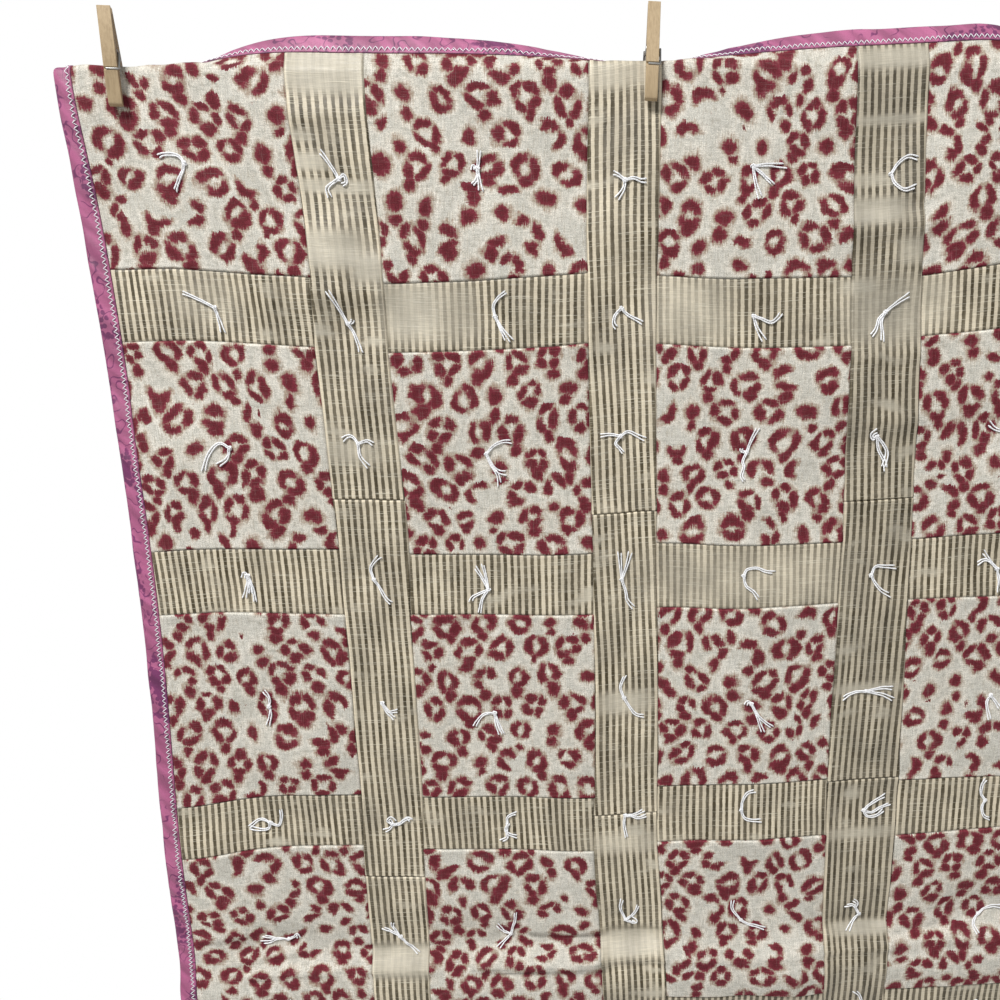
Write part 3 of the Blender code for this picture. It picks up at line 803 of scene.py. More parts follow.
# Tails of each visible tie, by row and column: each has the (right, down) pairs of its places after the
# knot, in mm from it
TAILS = (
    (
        ((-4, -5, -14, -6, -20, -4), (-3, 6, -8, 13, -11, 18)),
        ((-2, -5, -7, -14, -10, -18), (-5, 3, -9, 7, -8, 13), (4, -3, 5, 2, 1, 4)),
        ((1, -7, 2, -14), (-3, -2, -4, 1), (-1, 7, -4, 11), (1, 9, 2, 16)),
        ((6, -1, 12, 1, 17, 1), (-5, -4, -9, -6), (-1, 6, -6, 13)),
        ((12, -1, 26, 0), (8, 6, 16, 13), (2, 11, 6, 22)),
        ((5, -7, 12, -11, 19, -9), (3, 7, 10, 12, 19, 10)),
    ),
    (
        ((-8, -4, -17, -8, -22, -10), (2, 8, 4, 18)),
        ((-6, -12, -13, -24), (4, 7, 7, 16, 8, 21), (3, -1, 4, -3)),
        ((-1, -7, 3, -13, 9, -17), (4, 9, 8, 17), (5, 9, 12, 18)),
        ((-5, 5, -6, 11, -3, 15), (5, 5, 12, 9, 17, 12)),
        ((6, 2, 13, 5, 18, 2, 21, -2), (3, 9, 10, 20)),
        ((8, -6, 18, -12), (-5, 5, -7, 12, -11, 17), (-3, 7, -2, 15, -2, 22)),
    ),
    (
        ((-8, -3, -17, 6, -22, 18), (-3, 8, -11, 13)),
        ((-4, -5, -8, -5, -12, -2), (1, 10, 8, 19), (7, -2, 12, 1)),
        ((6, -6, 14, -9, 22, -8), (3, 8, 8, 16, 9, 25), (5, 10, 10, 14, 16, 15)),
        ((-8, -2, -16, -2), (6, -3, 14, 1, 20, 4), (-4, 5, -1, 9, 2, 13)),
        ((4, -10, 9, -19), (-3, 7, -2, 11, -4, 18, -2, 22), (-4, -1, -4, -3)),
        ((2, 10, 7, 19, 9, 27), (6, 7, 9, 14, 6, 26), (-3, 2, -4, -2, 0, -5)),
    ),
    (
        ((-2, 9, -5, 18), (1, 8, 1, 15), (3, 10, 4, 21), (-3, -2, -4, 2)),
        ((-2, -9, 3, -16, 7, -19), (4, 6, 9, 15, 14, 19)),
        ((-5, -10, -10, -19), (-2, -12, -4, -21), (-7, 3, -13, 6, -15, 10), (-5, 7, -7, 14, -8, 19)),
        ((-1, -11, -2, -23), (4, -11, 7, -22), (3, 10, 4, 17, 9, 24)),
        ((3, -5, 11, -6, 18, -3, 27, -2), (2, 8, 8, 13, 12, 19)),
        ((3, -7, 10, -7, 20, -6), (4, 7, 9, 13, 17, 18)),
        ((-7, -8, -13, -16), (-7, -7, -12, -8, -17, -5), (2, 10, 2, 19)),
    ),
    (
        ((1, -7, -3, -14), (1, 6, -2, 17)),
        ((3, 7, 7, 11, 10, 14), (5, 7, 9, 7, 13, 6)),
        ((-9, 1, -15, 7, -18, 12), (1, 9, 4, 18), (3, 9, 7, 18)),
        ((-3, -8, -2, -13, 1, -19), (5, 8, 10, 14, 18, 16)),
        ((5, 10, 8, 18, 11, 25), (6, 10, 12, 16, 19, 21), (-3, -2, -5, 1)),
        ((-9, 0, -15, 2, -20, 5), (12, -2, 23, -1), (7, 2, 14, 4, 23, 9)),
        ((-3, 6, -1, 16, 1, 23), (5, 7, 8, 12)),
    ),
    (
        ((-8, -4, -18, 2), (-2, 5, -9, 5, -17, 2), (7, 3, 10, -5, 10, -14)),
        ((-3, 4, -8, 6), (5, 0, 10, -4, 17, -7), (6, -1, 13, -6, 17, -3), (-4, -3, -1, -6, 2, -2)),
        ((0, -6, 4, -9, 9, -11), (-2, 5, 1, 9, 8, 11), (-1, 7, -1, 12, -7, 15)),
        ((6, 0, 10, -1, 16, -4), (6, 1, 11, 3, 19, 1), (-1, 8, 1, 20)),
        ((1, -8, 5, -15, 12, -17), (2, 6, 7, 9, 18, 10)),
        ((5, -5, 11, -9, 18, -13), (3, 5, 10, 5, 16, 0), (6, 2, 13, -2, 21, -5)),
    ),
    (
        ((-8, -1, -14, -3, -21, -6), (-9, -1, -16, 2, -24, 2), (5, -2, 8, -5, 9, -1)),
        ((-7, -5, -15, -9), (-4, -7, -6, -11, -5, -15), (6, 8, 15, 18)),
        ((-5, -2, -8, -5, -13, -12), (2, -8, 4, -14, 5, -23), (-6, 7, -12, 14)),
        ((-3, -8, -4, -14, -2, -22), (5, -3, 9, -8, 12, -16), (5, 3, 9, 2, 5, -1)),
        ((-5, -7, -8, -13, -7, -21), (6, 4, 13, 6, 22, 9)),
        ((-3, -7, -2, -13, -6, -17), (-3, -7, -6, -11, -13, -11), (-5, 7, -11, 16)),
        ((-4, 6, -5, 11, -2, 18), (6, -5, 13, -7, 21, -6)),
    ),
)

# Tails for the ties that the table leaves out
TAIL_SHAPES = (
    ((6, 4, 12, 5, 19, 3), (-5, 6, -6, 13, -2, 19)),
    ((5, -6, 6, -14, 2, -19), (1, 8, -3, 16, -8, 20)),
    ((-8, 2, -16, -1, -21, 4), (7, 5, 9, 12)),
    ((8, -3, 15, 1, 17, 8), (-4, 7, -10, 11, -17, 11)),
    ((-4, -8, -3, -16), (5, 9, 5, 17, 9, 24)),
)


def tail_places(numbers):
    """A tail's places in a row, from its knot on."""
    return np.array((0.0, 0.0, *numbers)).reshape(-1, 2)


def tie_tails(key, chance):
    listed = in_table(TAILS, key)
    if listed:
        return [tail_places(tail) for tail in listed]
    shape = TAIL_SHAPES[chance.integers(len(TAIL_SHAPES))]
    turn = chance.uniform(-0.7, 0.7) + (math.pi if chance.random() < 0.5 else 0)
    flip = -1 if chance.random() < 0.5 else 1
    spin = np.array(((math.cos(turn), -math.sin(turn)), (math.sin(turn), math.cos(turn))))
    return [tail_places(tail) * (flip, 1) @ spin.T * chance.uniform(0.8, 1.15) for tail in shape]


def knot_curve(u, v, chance):
    """A small overhand knot, as places on the cloth with a height."""
    spin = chance.uniform(0, 2 * math.pi)
    turns = np.linspace(0, 2 * math.pi, 22, endpoint=False)
    reach = KNOT_REACH * (0.62 + 0.38 * np.cos(3 * turns))
    return (
        u + reach * np.cos(2 * turns + spin),
        v + 0.85 * reach * np.sin(2 * turns + spin),
        YARN * (1.0 + 0.75 * np.sin(3 * turns)),
    )


def make_yarn(material):
    """The ties: a knot with two doubled tails on the front, and a short stitch on the back."""
    chance = np.random.default_rng(77)
    bundle = Bundle()
    for key, (u, v) in sorted(TIES.items()):
        knot_u, knot_v, lift = knot_curve(u, v, chance)
        points = cloth(knot_u, knot_v, front_height(knot_u, knot_v) + lift)
        bundle.add(*tube(points, YARN * 0.5, 6, closed=True))
        for tail in tie_tails(key, chance):
            line = soften(tail * MM, 16)
            side = np.gradient(line, axis=0)
            side = np.stack((-side[:, 1], side[:, 0]), axis=1)
            side = side / np.linalg.norm(side, axis=1, keepdims=True)
            share = np.linspace(0, 1, len(line))
            for strand in (-1, 1):
                apart = strand * (0.5 + 0.5 * share ** 2 * chance.uniform(0.3, 2.2)) * YARN
                length = chance.uniform(0.88, 1.04)
                cut = share * length
                place = np.stack([np.interp(cut, share, line[:, axis]) for axis in (0, 1)], axis=1)
                place = place + side * apart[:, None]
                tail_u, tail_v = u + place[:, 0], v + place[:, 1]
                lift = YARN * (0.5 + 0.9 * bell(share, 0.16) + 0.5 * np.sin(share * 7 + strand) ** 2)
                points = cloth(tail_u, tail_v, front_height(tail_u, tail_v) + lift)
                thick = YARN * 0.5 * (1 - 0.12 * strand * np.sin(share * 30))
                thick[-2:] *= (1.15, 0.75)
                bundle.add(*tube(points, thick, 6))
        turn = chance.uniform(-0.5, 0.5)
        place = np.linspace(-STITCH_HALF, STITCH_HALF, 5)
        stitch_u, stitch_v = u + place * math.cos(turn), v + place * math.sin(turn)
        lift = YARN * (0.5 - 1.1 * (abs(place) / STITCH_HALF) ** 4)
        points = cloth(stitch_u, stitch_v, -back_height(stitch_u, stitch_v) - lift)
        bundle.add(*tube(points, YARN * 0.55, 6))
    return bundle.build("yarn_ties", [material])


def zigzag_path(side):
    """The thread's places along one side: out over the binding and back at every half pitch."""
    long = WIDTH if side in LEVEL_SIDES else HEIGHT
    steps = int(long / (ZIGZAG_PITCH / 4))
    along = np.linspace(-1.0 * MM, long + 1.0 * MM, steps)
    wave = np.array((-0.5, 0.0, 0.5, 0.0))[np.arange(steps) % 4]
    drift = 0.35 * MM * ripple(along, 0 * along, 30 * MM, 120 + BINDING_SIDES.index(side))
    outward = ZIGZAG_MIDDLE + ZIGZAG_WIDTH * wave + drift
    return along, outward, abs(wave)


def make_zigzag(side, material):
    """The thread on both faces, lying on the patches and on the binding's drag lines."""
    bundle = Bundle()
    along, outward, turning = zigzag_path(side)
    u, v = binding_place(along, outward, side)
    over = smooth(outward / (1.4 * MM))
    for front in (True, False):
        inner, full = binding_surface(along, outward, side, front)
        full = full + binding_puckers(along, outward, side)
        height = inner + (np.maximum(full, inner) - inner) * over + (0.45 - 0.35 * turning) * MM
        points = cloth(u, v, height if front else -height)
        bundle.add(*tube(points, THREAD / 2, 4))
    return bundle.build(f"zigzag_{side}", [material])


# Pegs
def jaw_place(side, along, out):
    """A point of a lever in the peg's frame: y back, z up from the line."""
    reach = along - COIL_FROM_TIP
    depth = out + PIVOT_OFFSET
    y = depth * math.cos(JAW_OPENING) - reach * math.sin(JAW_OPENING)
    z = depth * math.sin(JAW_OPENING) + reach * math.cos(JAW_OPENING)
    return side * y, z + COIL_FROM_TIP - LINE_FROM_TIP


def lever_outline():
    """One lever's side, as (distance from the jaw's tip, distance out from its inner face)."""
    half = math.sqrt(COIL_GROOVE ** 2 - PIVOT_OFFSET ** 2)
    swing = math.asin(half / COIL_GROOVE)
    points = [(0.0, 0.35 * MM), (0.5 * MM, 0.0), (COIL_FROM_TIP - half, 0.0)]
    for step in range(1, 12):
        angle = -swing + 2 * swing * step / 12
        out = COIL_GROOVE * math.cos(angle) - PIVOT_OFFSET
        points.append((COIL_FROM_TIP + COIL_GROOVE * math.sin(angle), out))
    points += [(COIL_FROM_TIP + half, 0.0), (PEG_LENGTH - 0.5 * MM, HANDLE_TAPER - 0.1 * MM)]
    points += [(PEG_LENGTH, HANDLE_TAPER + 0.4 * MM), (PEG_LENGTH, LEVER_THICK - 0.8 * MM)]
    points += [(PEG_LENGTH - 0.9 * MM, LEVER_THICK), (WIRE_FROM_TIP + WIRE, LEVER_THICK)]
    for step in range(7):
        angle = math.pi * step / 6
        out = LEVER_THICK - WIRE_GROOVE * math.sin(angle)
        points.append((WIRE_FROM_TIP + WIRE * 0.85 * math.cos(angle), out))
    points += [(WIRE_FROM_TIP - WIRE, LEVER_THICK), (1.2 * MM, TIP_THICK + 0.1 * MM)]
    points += [(0.0, TIP_THICK - 0.9 * MM)]
    return points


def make_lever(name, side, placed, material):
    """A lever with rounded edges. side is -1 for the front one and 1 for the back one."""
    outline = [jaw_place(side, along, out) for along, out in lever_outline()]
    data = bpy.data.meshes.new(name)
    count = len(outline)
    half = PEG_WIDTH / 2
    places = [(x, y, z) for x in (-half, half) for y, z in outline]
    faces = [list(range(count)), list(range(2 * count - 1, count - 1, -1))]
    for index in range(count):
        after = (index + 1) % count
        faces.append([index, index + count, after + count, after])
    data.from_pydata([placed @ Vector(place) for place in places], [], faces)
    data.materials.append(material)
    data.update()
    made = link_object(name, data)
    rounding = made.modifiers.new("rounded_edges", "BEVEL")
    rounding.width = 0.45 * MM
    rounding.segments = 2
    rounding.limit_method = "ANGLE"
    rounding.angle_limit = math.radians(50)
    data.shade_smooth()
    data.set_sharp_from_angle(angle=math.radians(40))
    return made


def spring_path():
    """The wire: an arm, the coil, and the same arm half a turn about the peg's axis."""
    side_x = PEG_WIDTH / 2 + GAP + WIRE / 2
    out = LEVER_THICK - WIRE_GROOVE + GAP + WIRE / 2
    front_y, front_z = jaw_place(-1, WIRE_FROM_TIP, out)
    coil_z = COIL_FROM_TIP - LINE_FROM_TIP
    bend = 0.8 * MM
    arm = [(x, front_y, front_z) for x in (-PEG_WIDTH / 2 + WIRE, 0.0, side_x - 2 * bend)]
    arm.append((side_x - 0.5 * bend, front_y + 0.15 * bend, front_z))
    arm.append((side_x, front_y + bend, front_z + bend * 0.5))
    coil = []
    for step in range(COIL_STEPS + 1):
        angle = math.radians(-90) - 2 * math.pi * COIL_TURNS * step / COIL_STEPS
        x = side_x * (1 - 2 * step / COIL_STEPS)
        coil.append((x, COIL_RADIUS * math.sin(angle), coil_z + COIL_RADIUS * math.cos(angle)))
    other = [(-x, -y, z) for x, y, z in reversed(arm)]
    return arm + coil + other


def make_spring(name, placed, material):
    points = [placed @ Vector(place) for place in spring_path()]
    rings, faces, uv = tube(points, WIRE / 2, 10)
    return add_mesh(name, rings, faces, [material], uv)


def peg_frame(place, lean, turn):
    """A peg's place on the line, leaning with the cloth and turned about the vertical."""
    place = np.array(place * MM)
    at_line = sheet_point(place, bend_start(place))
    spun = Matrix.Rotation(math.radians(turn), 4, "Z")
    leaning = Matrix.Rotation(math.radians(-lean), 4, "Y")
    return Matrix.Translation((at_line[0], 0, PEG_LIFT)) @ (spun @ leaning)


# Materials
def operation(name):
    """A method that adds a math node of that name."""

    def method(self, *others):
        return self.graph.math(name, self, *others)

    return method


class Value:
    """What one node gives. A sum or method of values adds the nodes that work it out."""

    def __init__(self, graph, socket):
        self.graph = graph
        self.socket = socket

    __add__ = operation("ADD")
    __sub__ = operation("SUBTRACT")
    __mul__ = operation("MULTIPLY")
    __truediv__ = operation("DIVIDE")
    __mod__ = operation("FLOORED_MODULO")
    __pow__ = operation("POWER")
    __abs__ = operation("ABSOLUTE")
    floor = operation("FLOOR")
    fraction = operation("FRACT")
    sine = operation("SINE")
    most = operation("MAXIMUM")
    least = operation("MINIMUM")

    def __rsub__(self, other):
        return self.graph.math("SUBTRACT", other, self)

    def plus(self, vector):
        return self.graph.vector("ADD", self, vector)

    def times(self, *scales):
        return self.graph.vector("MULTIPLY", self, scales)

    def split(self):
        first = self.graph.node("ShaderNodeSeparateXYZ", {0: self})
        return [Value(self.graph, socket) for socket in first.socket.node.outputs]

    def noise(self, scale, detail=1.0, rough=0.5, output="Fac"):
        """Noise at this place, whose features are 1 / scale across, each way."""
        place = self.times(*(*scale, 1.0)[:3])
        inputs = {"Vector": place, "Scale": 1.0, "Detail": detail, "Roughness": rough}
        return self.graph.node("ShaderNodeTexNoise", inputs, output, noise_dimensions="3D")

    def chances(self, dimensions):
        """Three random values for each place."""
        kind = "ShaderNodeTexWhiteNoise"
        return self.graph.node(kind, {"Vector": self}, "Color", noise_dimensions=dimensions).split()

    def ramp(self, low, high, to_low=0.0, to_high=1.0):
        """Rises smoothly from to_low to to_high as this goes from low to high."""
        inputs = {"Value": self, "From Min": low, "From Max": high, "To Min": to_low, "To Max": to_high}
        return self.graph.node("ShaderNodeMapRange", inputs, interpolation_type="SMOOTHSTEP")

    def fall(self, low, high):
        """Falls smoothly from 1 to 0 as this goes from low to high."""
        return self.ramp(low, high, 1.0, 0.0)

    def mix(self, low, high):
        """A colour this far from low to high."""
        low, high = [end if isinstance(end, Value) else (*end, 1) for end in (low, high)]
        return self.graph.node("ShaderNodeMix", {0: self, 6: low, 7: high}, 2, data_type="RGBA")

    def tint(self, brightness):
        """This colour times a brightness."""
        grey = self.graph.join(brightness, brightness, brightness)
        return self.graph.vector("MULTIPLY", self, grey)


class Graph:
    """A material whose nodes are added by short calls. Colours are linear red, green and blue."""

    def __init__(self, name, roughness, sheen=0.0, specular=0.3, metallic=0.0):
        self.material = bpy.data.materials.new(name)
        self.material.use_nodes = True
        self.tree = self.material.node_tree
        self.shader = self.tree.nodes["Principled BSDF"]
        self.put("Roughness", roughness)
        self.put("Sheen Weight", sheen)
        self.put("Sheen Roughness", 0.45)
        self.put("Specular IOR Level", specular)
        self.put("Metallic", metallic)

    def put(self, key, value, node=None):
        """Sets that input of the node, or of the shader."""
        socket = (node or self.shader).inputs[key]
        if isinstance(value, Value):
            self.tree.links.new(value.socket, socket)
        else:
            socket.default_value = value

    def node(self, kind, inputs, output=0, **settings):
        """A new node's output. inputs has its values by name or number."""
        made = self.tree.nodes.new(kind)
        for key, value in settings.items():
            setattr(made, key, value)
        for key, value in inputs.items():
            self.put(key, value, made)
        return Value(self, made.outputs[output])

    def math(self, name, *values):
        return self.node("ShaderNodeMath", dict(enumerate(values)), operation=name)

    def vector(self, name, *values):
        return self.node("ShaderNodeVectorMath", dict(enumerate(values)), operation=name)

    def join(self, x, y, z=0.0):
        return self.node("ShaderNodeCombineXYZ", {0: x, 1: y, 2: z})

    def length(self, x, y):
        return self.node("ShaderNodeVectorMath", {0: self.join(x, y)}, "Value", operation="LENGTH")

    def layer(self, name):
        return self.node("ShaderNodeUVMap", {}, uv_map=name)

    def cloth_place(self):
        """The cloth's pattern coordinates, in millimetres."""
        return self.layer("cloth").times(1000, 1000, 0)

    def object_place(self):
        return self.node("ShaderNodeTexCoord", {}, "Object")

    def finish(self, colour, height=None, distance=0.0, strength=1.0, rough=None):
        """Joins the colour, bump and roughness to the shader, and returns the material."""
        self.put("Base Color", colour)
        if rough:
            self.put("Roughness", rough)
        if height:
            inputs = {"Strength": strength, "Distance": distance, "Height": height}
            self.put("Normal", self.node("ShaderNodeBump", inputs))
        return self.material


def weave(place, thread):
    """A plain weave's height: warp and weft threads that cross over and under, with uneven thickness."""
    x, y, _ = place.split()
    uneven_x = place.noise((2.2, 0.09))
    uneven_y = place.noise((0.09, 2.2))
    turn = math.pi / thread
    crossing = ((x + uneven_x) * turn).sine() * ((y + uneven_y) * turn).sine()
    return crossing * 0.35 + (uneven_x + uneven_y)


def scattered_cells(graph, place, shift, spread):
    """Jittered cells in staggered rows: x and y from each cell's own centre, and three chances for it."""
    x, y, _ = place.plus((*shift, 0)).split()
    down = y / SPOT_CELL[1]
    row = down.floor()
    across = x / SPOT_CELL[0] + row % 2.0 * 0.5
    column = across.floor()
    jitter = graph.join(column, row).chances("2D")
    places = []
    for share, drawn, size in zip((across, down), jitter, SPOT_CELL):
        centre = drawn * spread + (0.5 - spread / 2)
        places.append((share.fraction() - centre) * size)
    return *places, graph.join(column + 37.0, row).chances("2D")


def rosette_field(graph, x, y, chances):
    """Below 1 inside the blobs of a broken ring, which has two to four parts, and the place's radius."""
    first, second, third = chances
    radius = graph.length(x, y)
    turn = graph.math("ARCTAN2", y, x) / (2 * math.pi)
    parts = (first * 2.7 + 2.0).floor()
    round_place = turn * parts + second * 9.0
    sector = round_place.floor() % parts
    ring = third * 2.0 + 6.0
    arc = ring * (2 * math.pi) / parts
    gap, longer, wider = graph.join(sector, first, second).chances("3D")
    size = gap.ramp(0.09, 0.11, 0.03, 1.0)
    long_reach = arc * (size * (longer * 0.13 + 0.41))
    wide_reach = size * (wider + 3.0)
    along = abs((round_place.fraction() - 0.5) * arc / long_reach)
    aside = abs((radius - ring) / wide_reach)
    return (along ** BLOB_POWER + aside ** BLOB_POWER) ** (1 / BLOB_POWER), radius


def leopard_field(graph, place):
    """Below 1 inside the spots: broken rings, some solid ones, and dots between them, with frayed edges."""
    warped = place
    for scale, detail, reach in ((0.013, 0.0, 22.0), (0.06, 0.0, 6.5), (0.20, 1.0, 4.6), (0.60, 1.0, 2.0)):
        drift = place.noise((scale, scale), detail, output="Color")
        drift = graph.vector("SUBTRACT", drift, (0.5, 0.5, 0.5))
        warped = warped.plus(drift.times(reach, reach, 0.0))
    streak_down = place.noise((1.15, 0.09)) - 0.5
    streak_across = place.noise((0.12, 1.6)) - 0.5
    warped = warped.plus(graph.join(streak_across * 2.6, streak_down * 4.8))

    ring_x, ring_y, chances = scattered_cells(graph, warped, (0, 0), 0.16)
    ring_field, radius = rosette_field(graph, ring_x, ring_y, chances)
    solid_field = radius / (chances[1] * 1.6 + 4.6)
    is_solid = graph.math("LESS_THAN", (chances[0] * 7.0).fraction(), 0.12)
    field = solid_field * is_solid + ring_field * (1.0 - is_solid)
    half_cell = (SPOT_CELL[0] / 2, SPOT_CELL[1] / 2)
    dot_x, dot_y, chances = scattered_cells(graph, warped, half_cell, 0.2)
    dot_reach = chances[0].ramp(0.26, 0.34, 0.05, 1.0) * (chances[1] * 1.8 + 3.6)
    return field.least(graph.length(dot_x, dot_y) / dot_reach)


def leopard_material():
    graph = Graph("leopard_linen", 0.82, sheen=0.03, specular=0.15)
    place = graph.cloth_place()
    field = leopard_field(graph, place)
    grain = place.noise((1.5, 0.14), 2.0)
    cross_grain = place.noise((0.2, 1.5))
    spot = field.fall(0.84, 1.16)
    core = field.fall(0.35, 0.95)
    halo = (field - (grain * 1.15 + cross_grain * 0.5)).fall(0.25, 0.90)
    mottle = place.noise((0.035, 0.035))
    dusk = place.noise((0.22, 0.34), 3.0, 0.6).ramp(0.47, 0.72)
    smear = place.noise((0.9, 0.12), 2.0).ramp(0.52, 0.68)
    slub = place.noise((0.07, 2.2)).ramp(0.62, 0.70)
    slub_down = place.noise((2.2, 0.05)).ramp(0.63, 0.71)
    specks = place.noise((1.2, 1.2), 2.0, 0.8).ramp(0.30, 0.70, 0.73, 1.24)
    clear = (dusk * 0.5 + field).ramp(1.25, 3.0)

    ground = mottle.mix((0.61, 0.560, 0.475), (0.74, 0.70, 0.62))
    pale = mottle.mix((0.46, 0.44, 0.38), (0.575, 0.555, 0.495))
    ground = (clear * 0.85).mix(ground, pale)
    ground = (dusk * 0.50).mix(ground, (0.33, 0.31, 0.255))
    ground = (smear * 0.42).mix(ground, (0.38, 0.33, 0.25))
    brown = grain.mix((0.20, 0.125, 0.08), (0.35, 0.25, 0.17))
    base = (halo * 0.80).mix(ground, brown)
    red = core.mix((0.170, 0.013, 0.030), (0.105, 0.003, 0.013))
    base = (spot * 0.95).mix(base, red)
    light = slub.most(slub_down) * (spot * -0.27 + 0.34)
    base = light.mix(base, (0.80, 0.77, 0.68))
    height = weave(place, 0.55)
    # The block's tone with the seams' painted shade and highlights.
    tone = graph.layer("painted_light_and_tone").split()[1]
    shade = (height * 0.55 + 0.46) * (specks * tone)
    return graph.finish(base.tint(shade), height, 0.25 * MM, 0.6)


def stripe_material():
    graph = Graph("stripe_cotton", 0.42, sheen=0.06, specular=0.45)
    place = graph.cloth_place()
    sway = place.noise((0.02, 0.010)) - 0.5
    fine = place.noise((0.9, 0.30), 2.0) - 0.5
    uneven = place.noise((0.19, 0.004)) - 0.5
    share = ((sway * 3.0 + place.split()[0]) / STRIPE_PITCH).fraction()
    away = uneven * 0.4 + (fine * 0.32 + abs(share - 0.5) * 2.0)
    dark = away.fall(0.38, 0.62)
    rib = place.noise((2.4, 0.06), 2.0)
    weft = place.noise((0.06, 1.5), 2.0)
    ragged = place.noise((0.18, 0.30), 2.0)
    painted_sheen_patches = ragged * 0.16 + place.noise((0.028, 0.055))
    # From the second UV layer: the painted sheen, and the tone with the seams' painted shade and
    # highlights.
    painted_sheen_share, tone, _ = graph.layer("painted_light_and_tone").split()
    painted_sheen_share = (ragged - 0.5) * 0.7 * painted_sheen_share + painted_sheen_share
    painted_sheen_share = painted_sheen_share.most(painted_sheen_patches.ramp(0.68, 0.90, 0.0, 0.75))
    painted_sheen_share = painted_sheen_share.least(0.78)
    deep = place.noise((0.15, 0.035)).ramp(0.28, 0.72, 1.0, 0.80)
    slub = place.noise((0.03, 1.5)).ramp(0.59, 0.70)
    cloud = place.noise((0.045, 0.022)).ramp(0.30, 0.70, 0.84, 1.12)

    cream = rib.mix((0.50, 0.425, 0.300), (0.74, 0.655, 0.50))
    brown = rib.mix((0.020, 0.014, 0.003), (0.092, 0.068, 0.028))
    base = (dark * deep * (1.0 - painted_sheen_share)).mix(cream, brown)
    # Painted sheen: the stripes fade towards this mid colour where the satin would catch the light.
    painted_sheen_colour = rib.mix((0.42, 0.39, 0.315), (0.57, 0.54, 0.45))
    base = (painted_sheen_share * 0.70).mix(base, painted_sheen_colour)
    base = (slub * 0.50).mix(base, (0.74, 0.68, 0.53))
    height = weave(place, 0.5)
    threads = height * 0.18 + (weft * 0.55 + 0.53)
    base = base.tint(threads * (tone * cloud))
    return graph.finish(base, slub * 1.2 + height, 0.22 * MM, 0.5, weft * 0.16 + 0.34)


def mauve_material(name, printed):
    graph = Graph(name, 0.5, sheen=0.2, specular=0.4)
    place = graph.cloth_place()
    tone = place.noise((0.03, 0.03), 2.0)
    base = tone.mix((0.295, 0.068, 0.155), (0.465, 0.138, 0.265))
    if printed:
        area = place.noise((0.018, 0.045))
        bend = place.noise((0.07, 0.07))
        vine = abs(bend - 0.5).fall(0.008, 0.020) * area.ramp(0.38, 0.44)
        cells = {"Vector": place.times(0.24, 0.24, 0.0), "Scale": 1.0, "Randomness": 0.9}
        petal = graph.node("ShaderNodeTexVoronoi", cells, voronoi_dimensions="2D").fall(0.38, 0.47)
        bloom = petal * area.ramp(0.53, 0.57)
        heart = (bend * 0.3 + area).ramp(0.80, 0.82)
        figure = vine.most(bloom).most(heart)
        base = (figure * 0.88).mix(base, (0.135, 0.020, 0.095))
        across, girth, _ = place.split()
        # Painted shade in slanted bands, standing for the shade of the binding's drag folds.
        slanted = graph.join(girth * 0.9 + across, girth)
        folds = slanted.noise((0.10, 0.03)).ramp(0.30, 0.70, 0.74, 1.16)
        # Painted shadow along the binding's inner edge, where it stands over the patches.
        painted_edge_shadow = girth.ramp(0.35, 1.3, 0.45, 1.0)
        base = base.tint(painted_edge_shadow * folds)
    height = weave(place, 0.45)
    return graph.finish(base.tint(height * 0.20 + 0.80), height, 0.15 * MM, 0.5)


def yarn_material(name, colour, pitch):
    graph = Graph(name, 0.85, sheen=0.3, specular=0.2)
    place = graph.cloth_place()
    x, y, _ = place.split()
    twist = ((x + y) * pitch).sine()
    fibre = place.noise((3.0, 9.0), 2.0)
    light = twist * 0.05 + (fibre * 0.10 + 0.88)
    return graph.finish(graph.join(*colour).tint(light), twist, 0.15 * MM, 0.6)


def wood_material():
    graph = Graph("peg_wood", 0.62, specular=0.35)
    place = graph.object_place().times(1000, 1000, 1000)
    bend = place.noise((0.05, 0.05, 0.02), output="Color")
    bent = place.plus(bend.times(4.0, 4.0, 0.0))
    grain = bent.noise((0.9, 0.9, 0.035), 3.0, 0.6)
    pores = place.noise((5.0, 5.0, 0.22), 2.0).ramp(0.60, 0.72)
    tone = place.noise((0.02, 0.02, 0.02))
    base = grain.ramp(0.30, 0.75).mix((0.46, 0.345, 0.205), (0.36, 0.26, 0.15))
    base = (pores * 0.30).mix(base, (0.27, 0.19, 0.11))
    return graph.finish(base.tint(tone * 0.3 + 0.85), grain - pores * 0.6, 0.12 * MM, 0.6)


def wire_material():
    graph = Graph("peg_wire", 0.35, specular=0.5, metallic=1.0)
    place = graph.cloth_place()
    stain = place.noise((0.4, 0.4), 3.0)
    base = stain.mix((0.34, 0.33, 0.31), (0.58, 0.57, 0.54))
    return graph.finish(base, place.noise((0.6, 5.0)), 0.03 * MM, 0.4, stain * 0.3 + 0.22)


def floor_material():
    graph = Graph("pale_floor", 0.85, specular=0.2)
    tone = graph.object_place().noise((3, 3, 3), 2.0)
    return graph.finish(tone.mix((0.80, 0.80, 0.79), (0.84, 0.84, 0.83)))


leopard = leopard_material()
stripe = stripe_material()
mauve = mauve_material("binding_print", True)
backing_cloth = mauve_material("backing_cotton", False)
yarn = yarn_material("white_yarn", (0.99, 0.99, 1.0), 3.4)
thread = yarn_material("zigzag_thread", (0.98, 0.94, 0.98), 6.0)
wood = wood_material()
wire = wire_material()

backing = make_backing(backing_cloth)
columns = [make_block_column(column, [leopard, stripe]) for column in range(COLUMNS)]
sashes = [make_long_sash(number, stripe) for number in range(COLUMNS - 1)]
bindings = {side: make_binding(side, mauve) for side in BINDING_SIDES}
zigzags = {side: make_zigzag(side, thread) for side in BINDING_SIDES}
ties = make_yarn(yarn)

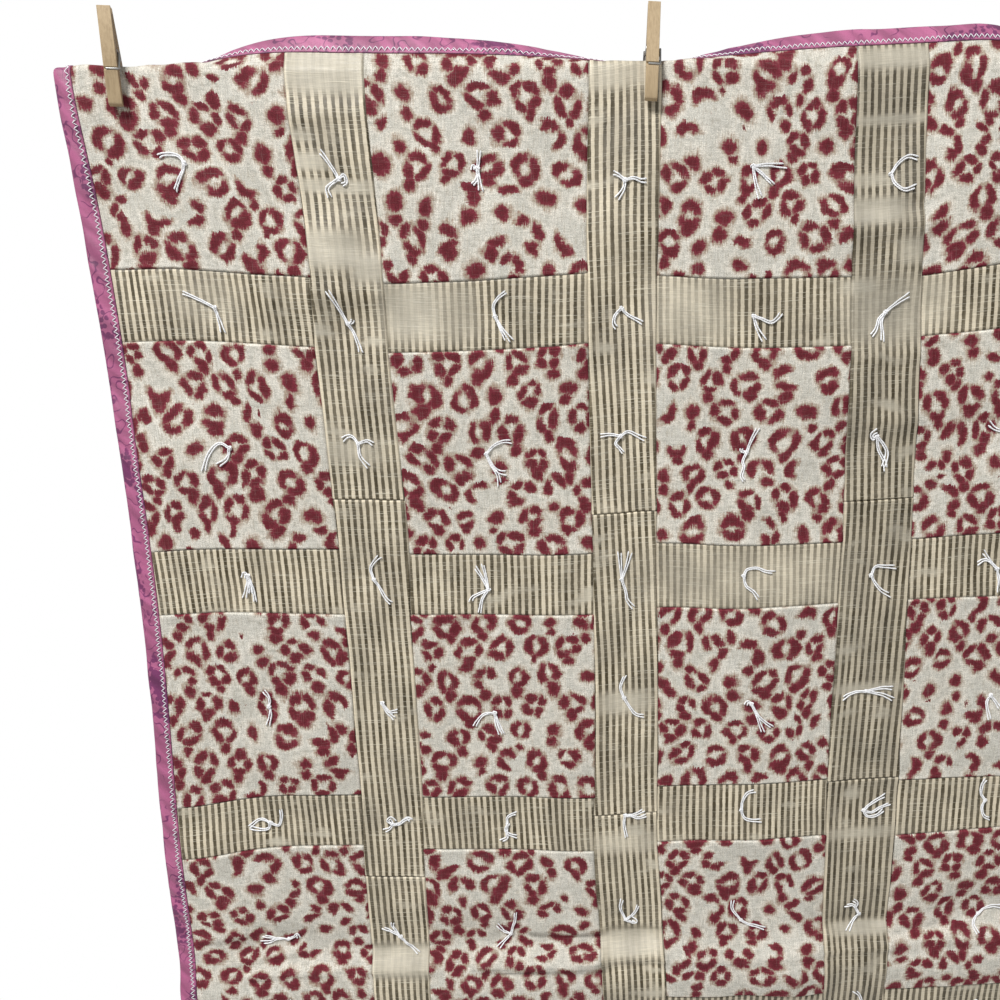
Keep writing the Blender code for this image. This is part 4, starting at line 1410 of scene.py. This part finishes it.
trimmings = [*columns, *sashes, *bindings.values(), *zigzags.values(), ties]
for piece in [backing, *trimmings]:
    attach(piece, "root")
for piece in [backing, *columns, *sashes]:
    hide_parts("quilt")
for side in BINDING_SIDES:
    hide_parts(f"binding_{side}")

for number, (place, lean, turn, _, _) in enumerate(PEGS, start=1):
    frame_of_peg = peg_frame(place, lean, turn)
    for side, name in ((-1, "front"), (1, "back")):
        lever = make_lever(f"peg_{number}_{name}_lever", side, frame_of_peg, wood)
        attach(lever, "root")
        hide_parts(f"peg_{number}_{name}")
    spring = make_spring(f"peg_{number}_wire", frame_of_peg, wire)
    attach(spring, "root")
    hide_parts(f"peg_{number}_spring")


# Floor, light and camera
def add_floor():
    size = np.array(((-1.6, -1.9), (1.6, -1.9), (1.6, 1.2), (-1.6, 1.2)))
    points = np.column_stack((size, np.full(4, -1.56)))
    add_mesh("floor", points, np.array([[0, 1, 2, 3]]), [floor_material()], size)


def add_area_light(name, place, target, size, power):
    data = bpy.data.lights.new(name, "AREA")
    data.shape = "SQUARE"
    data.size = size
    data.energy = power
    made = link_object(name, data)
    made.location = place
    made.rotation_mode = "QUATERNION"
    made.rotation_quaternion = (Vector(target) - Vector(place)).to_track_quat("-Z", "Y")


def light_scene():
    """Soft light from all round with a key and a fill. The camera sees the surroundings as white."""
    world = bpy.data.worlds.new("studio")
    bpy.context.scene.world = world
    world.use_nodes = True
    tree = world.node_tree
    seen, around = tree.nodes["Background"], tree.nodes.new("ShaderNodeBackground")
    for sky, colour, strength in ((seen, (1, 1, 1, 1), 1.0), (around, (0.96, 0.98, 1.0, 1), 0.345)):
        sky.inputs["Color"].default_value = colour
        sky.inputs["Strength"].default_value = strength
    path = tree.nodes.new("ShaderNodeLightPath")
    mix = tree.nodes.new("ShaderNodeMixShader")
    tree.links.new(path.outputs["Is Camera Ray"], mix.inputs[0])
    tree.links.new(around.outputs[0], mix.inputs[1])
    tree.links.new(seen.outputs[0], mix.inputs[2])
    tree.links.new(mix.outputs[0], tree.nodes["World Output"].inputs[0])
    add_area_light("key", (-1.55, -2.15, 2.6), (0.0, 0.0, -0.5), 0.9, 168)
    add_area_light("fill", (1.4, -2.4, 0.6), (0.0, 0.0, -0.6), 1.8, 8)


def add_camera():
    pitch, yaw, roll = (math.radians(degrees) for degrees in (13.68, 1.52, -1.08))
    forward = Vector((math.sin(yaw) * math.cos(pitch), math.cos(yaw) * math.cos(pitch), -math.sin(pitch)))
    level = Vector((math.cos(yaw), -math.sin(yaw), 0.0))
    rise = level.cross(forward)
    right = level * math.cos(roll) + rise * math.sin(roll)
    up = -level * math.sin(roll) + rise * math.cos(roll)
    data = bpy.data.cameras.new("camera")
    data.sensor_fit = "HORIZONTAL"
    data.sensor_width = 36
    data.lens = 36
    data.shift_x = -0.122
    data.shift_y = 0.185
    data.clip_start = 0.02
    made = link_object("camera", data)
    axes = Matrix((right, up, -forward)).transposed()
    made.matrix_world = Matrix.Translation((-0.229, -0.808, -0.260)) @ axes.to_4x4()
    bpy.context.scene.camera = made


add_floor()
light_scene()
add_camera()
bpy.context.scene.view_settings.view_transform = "Standard"
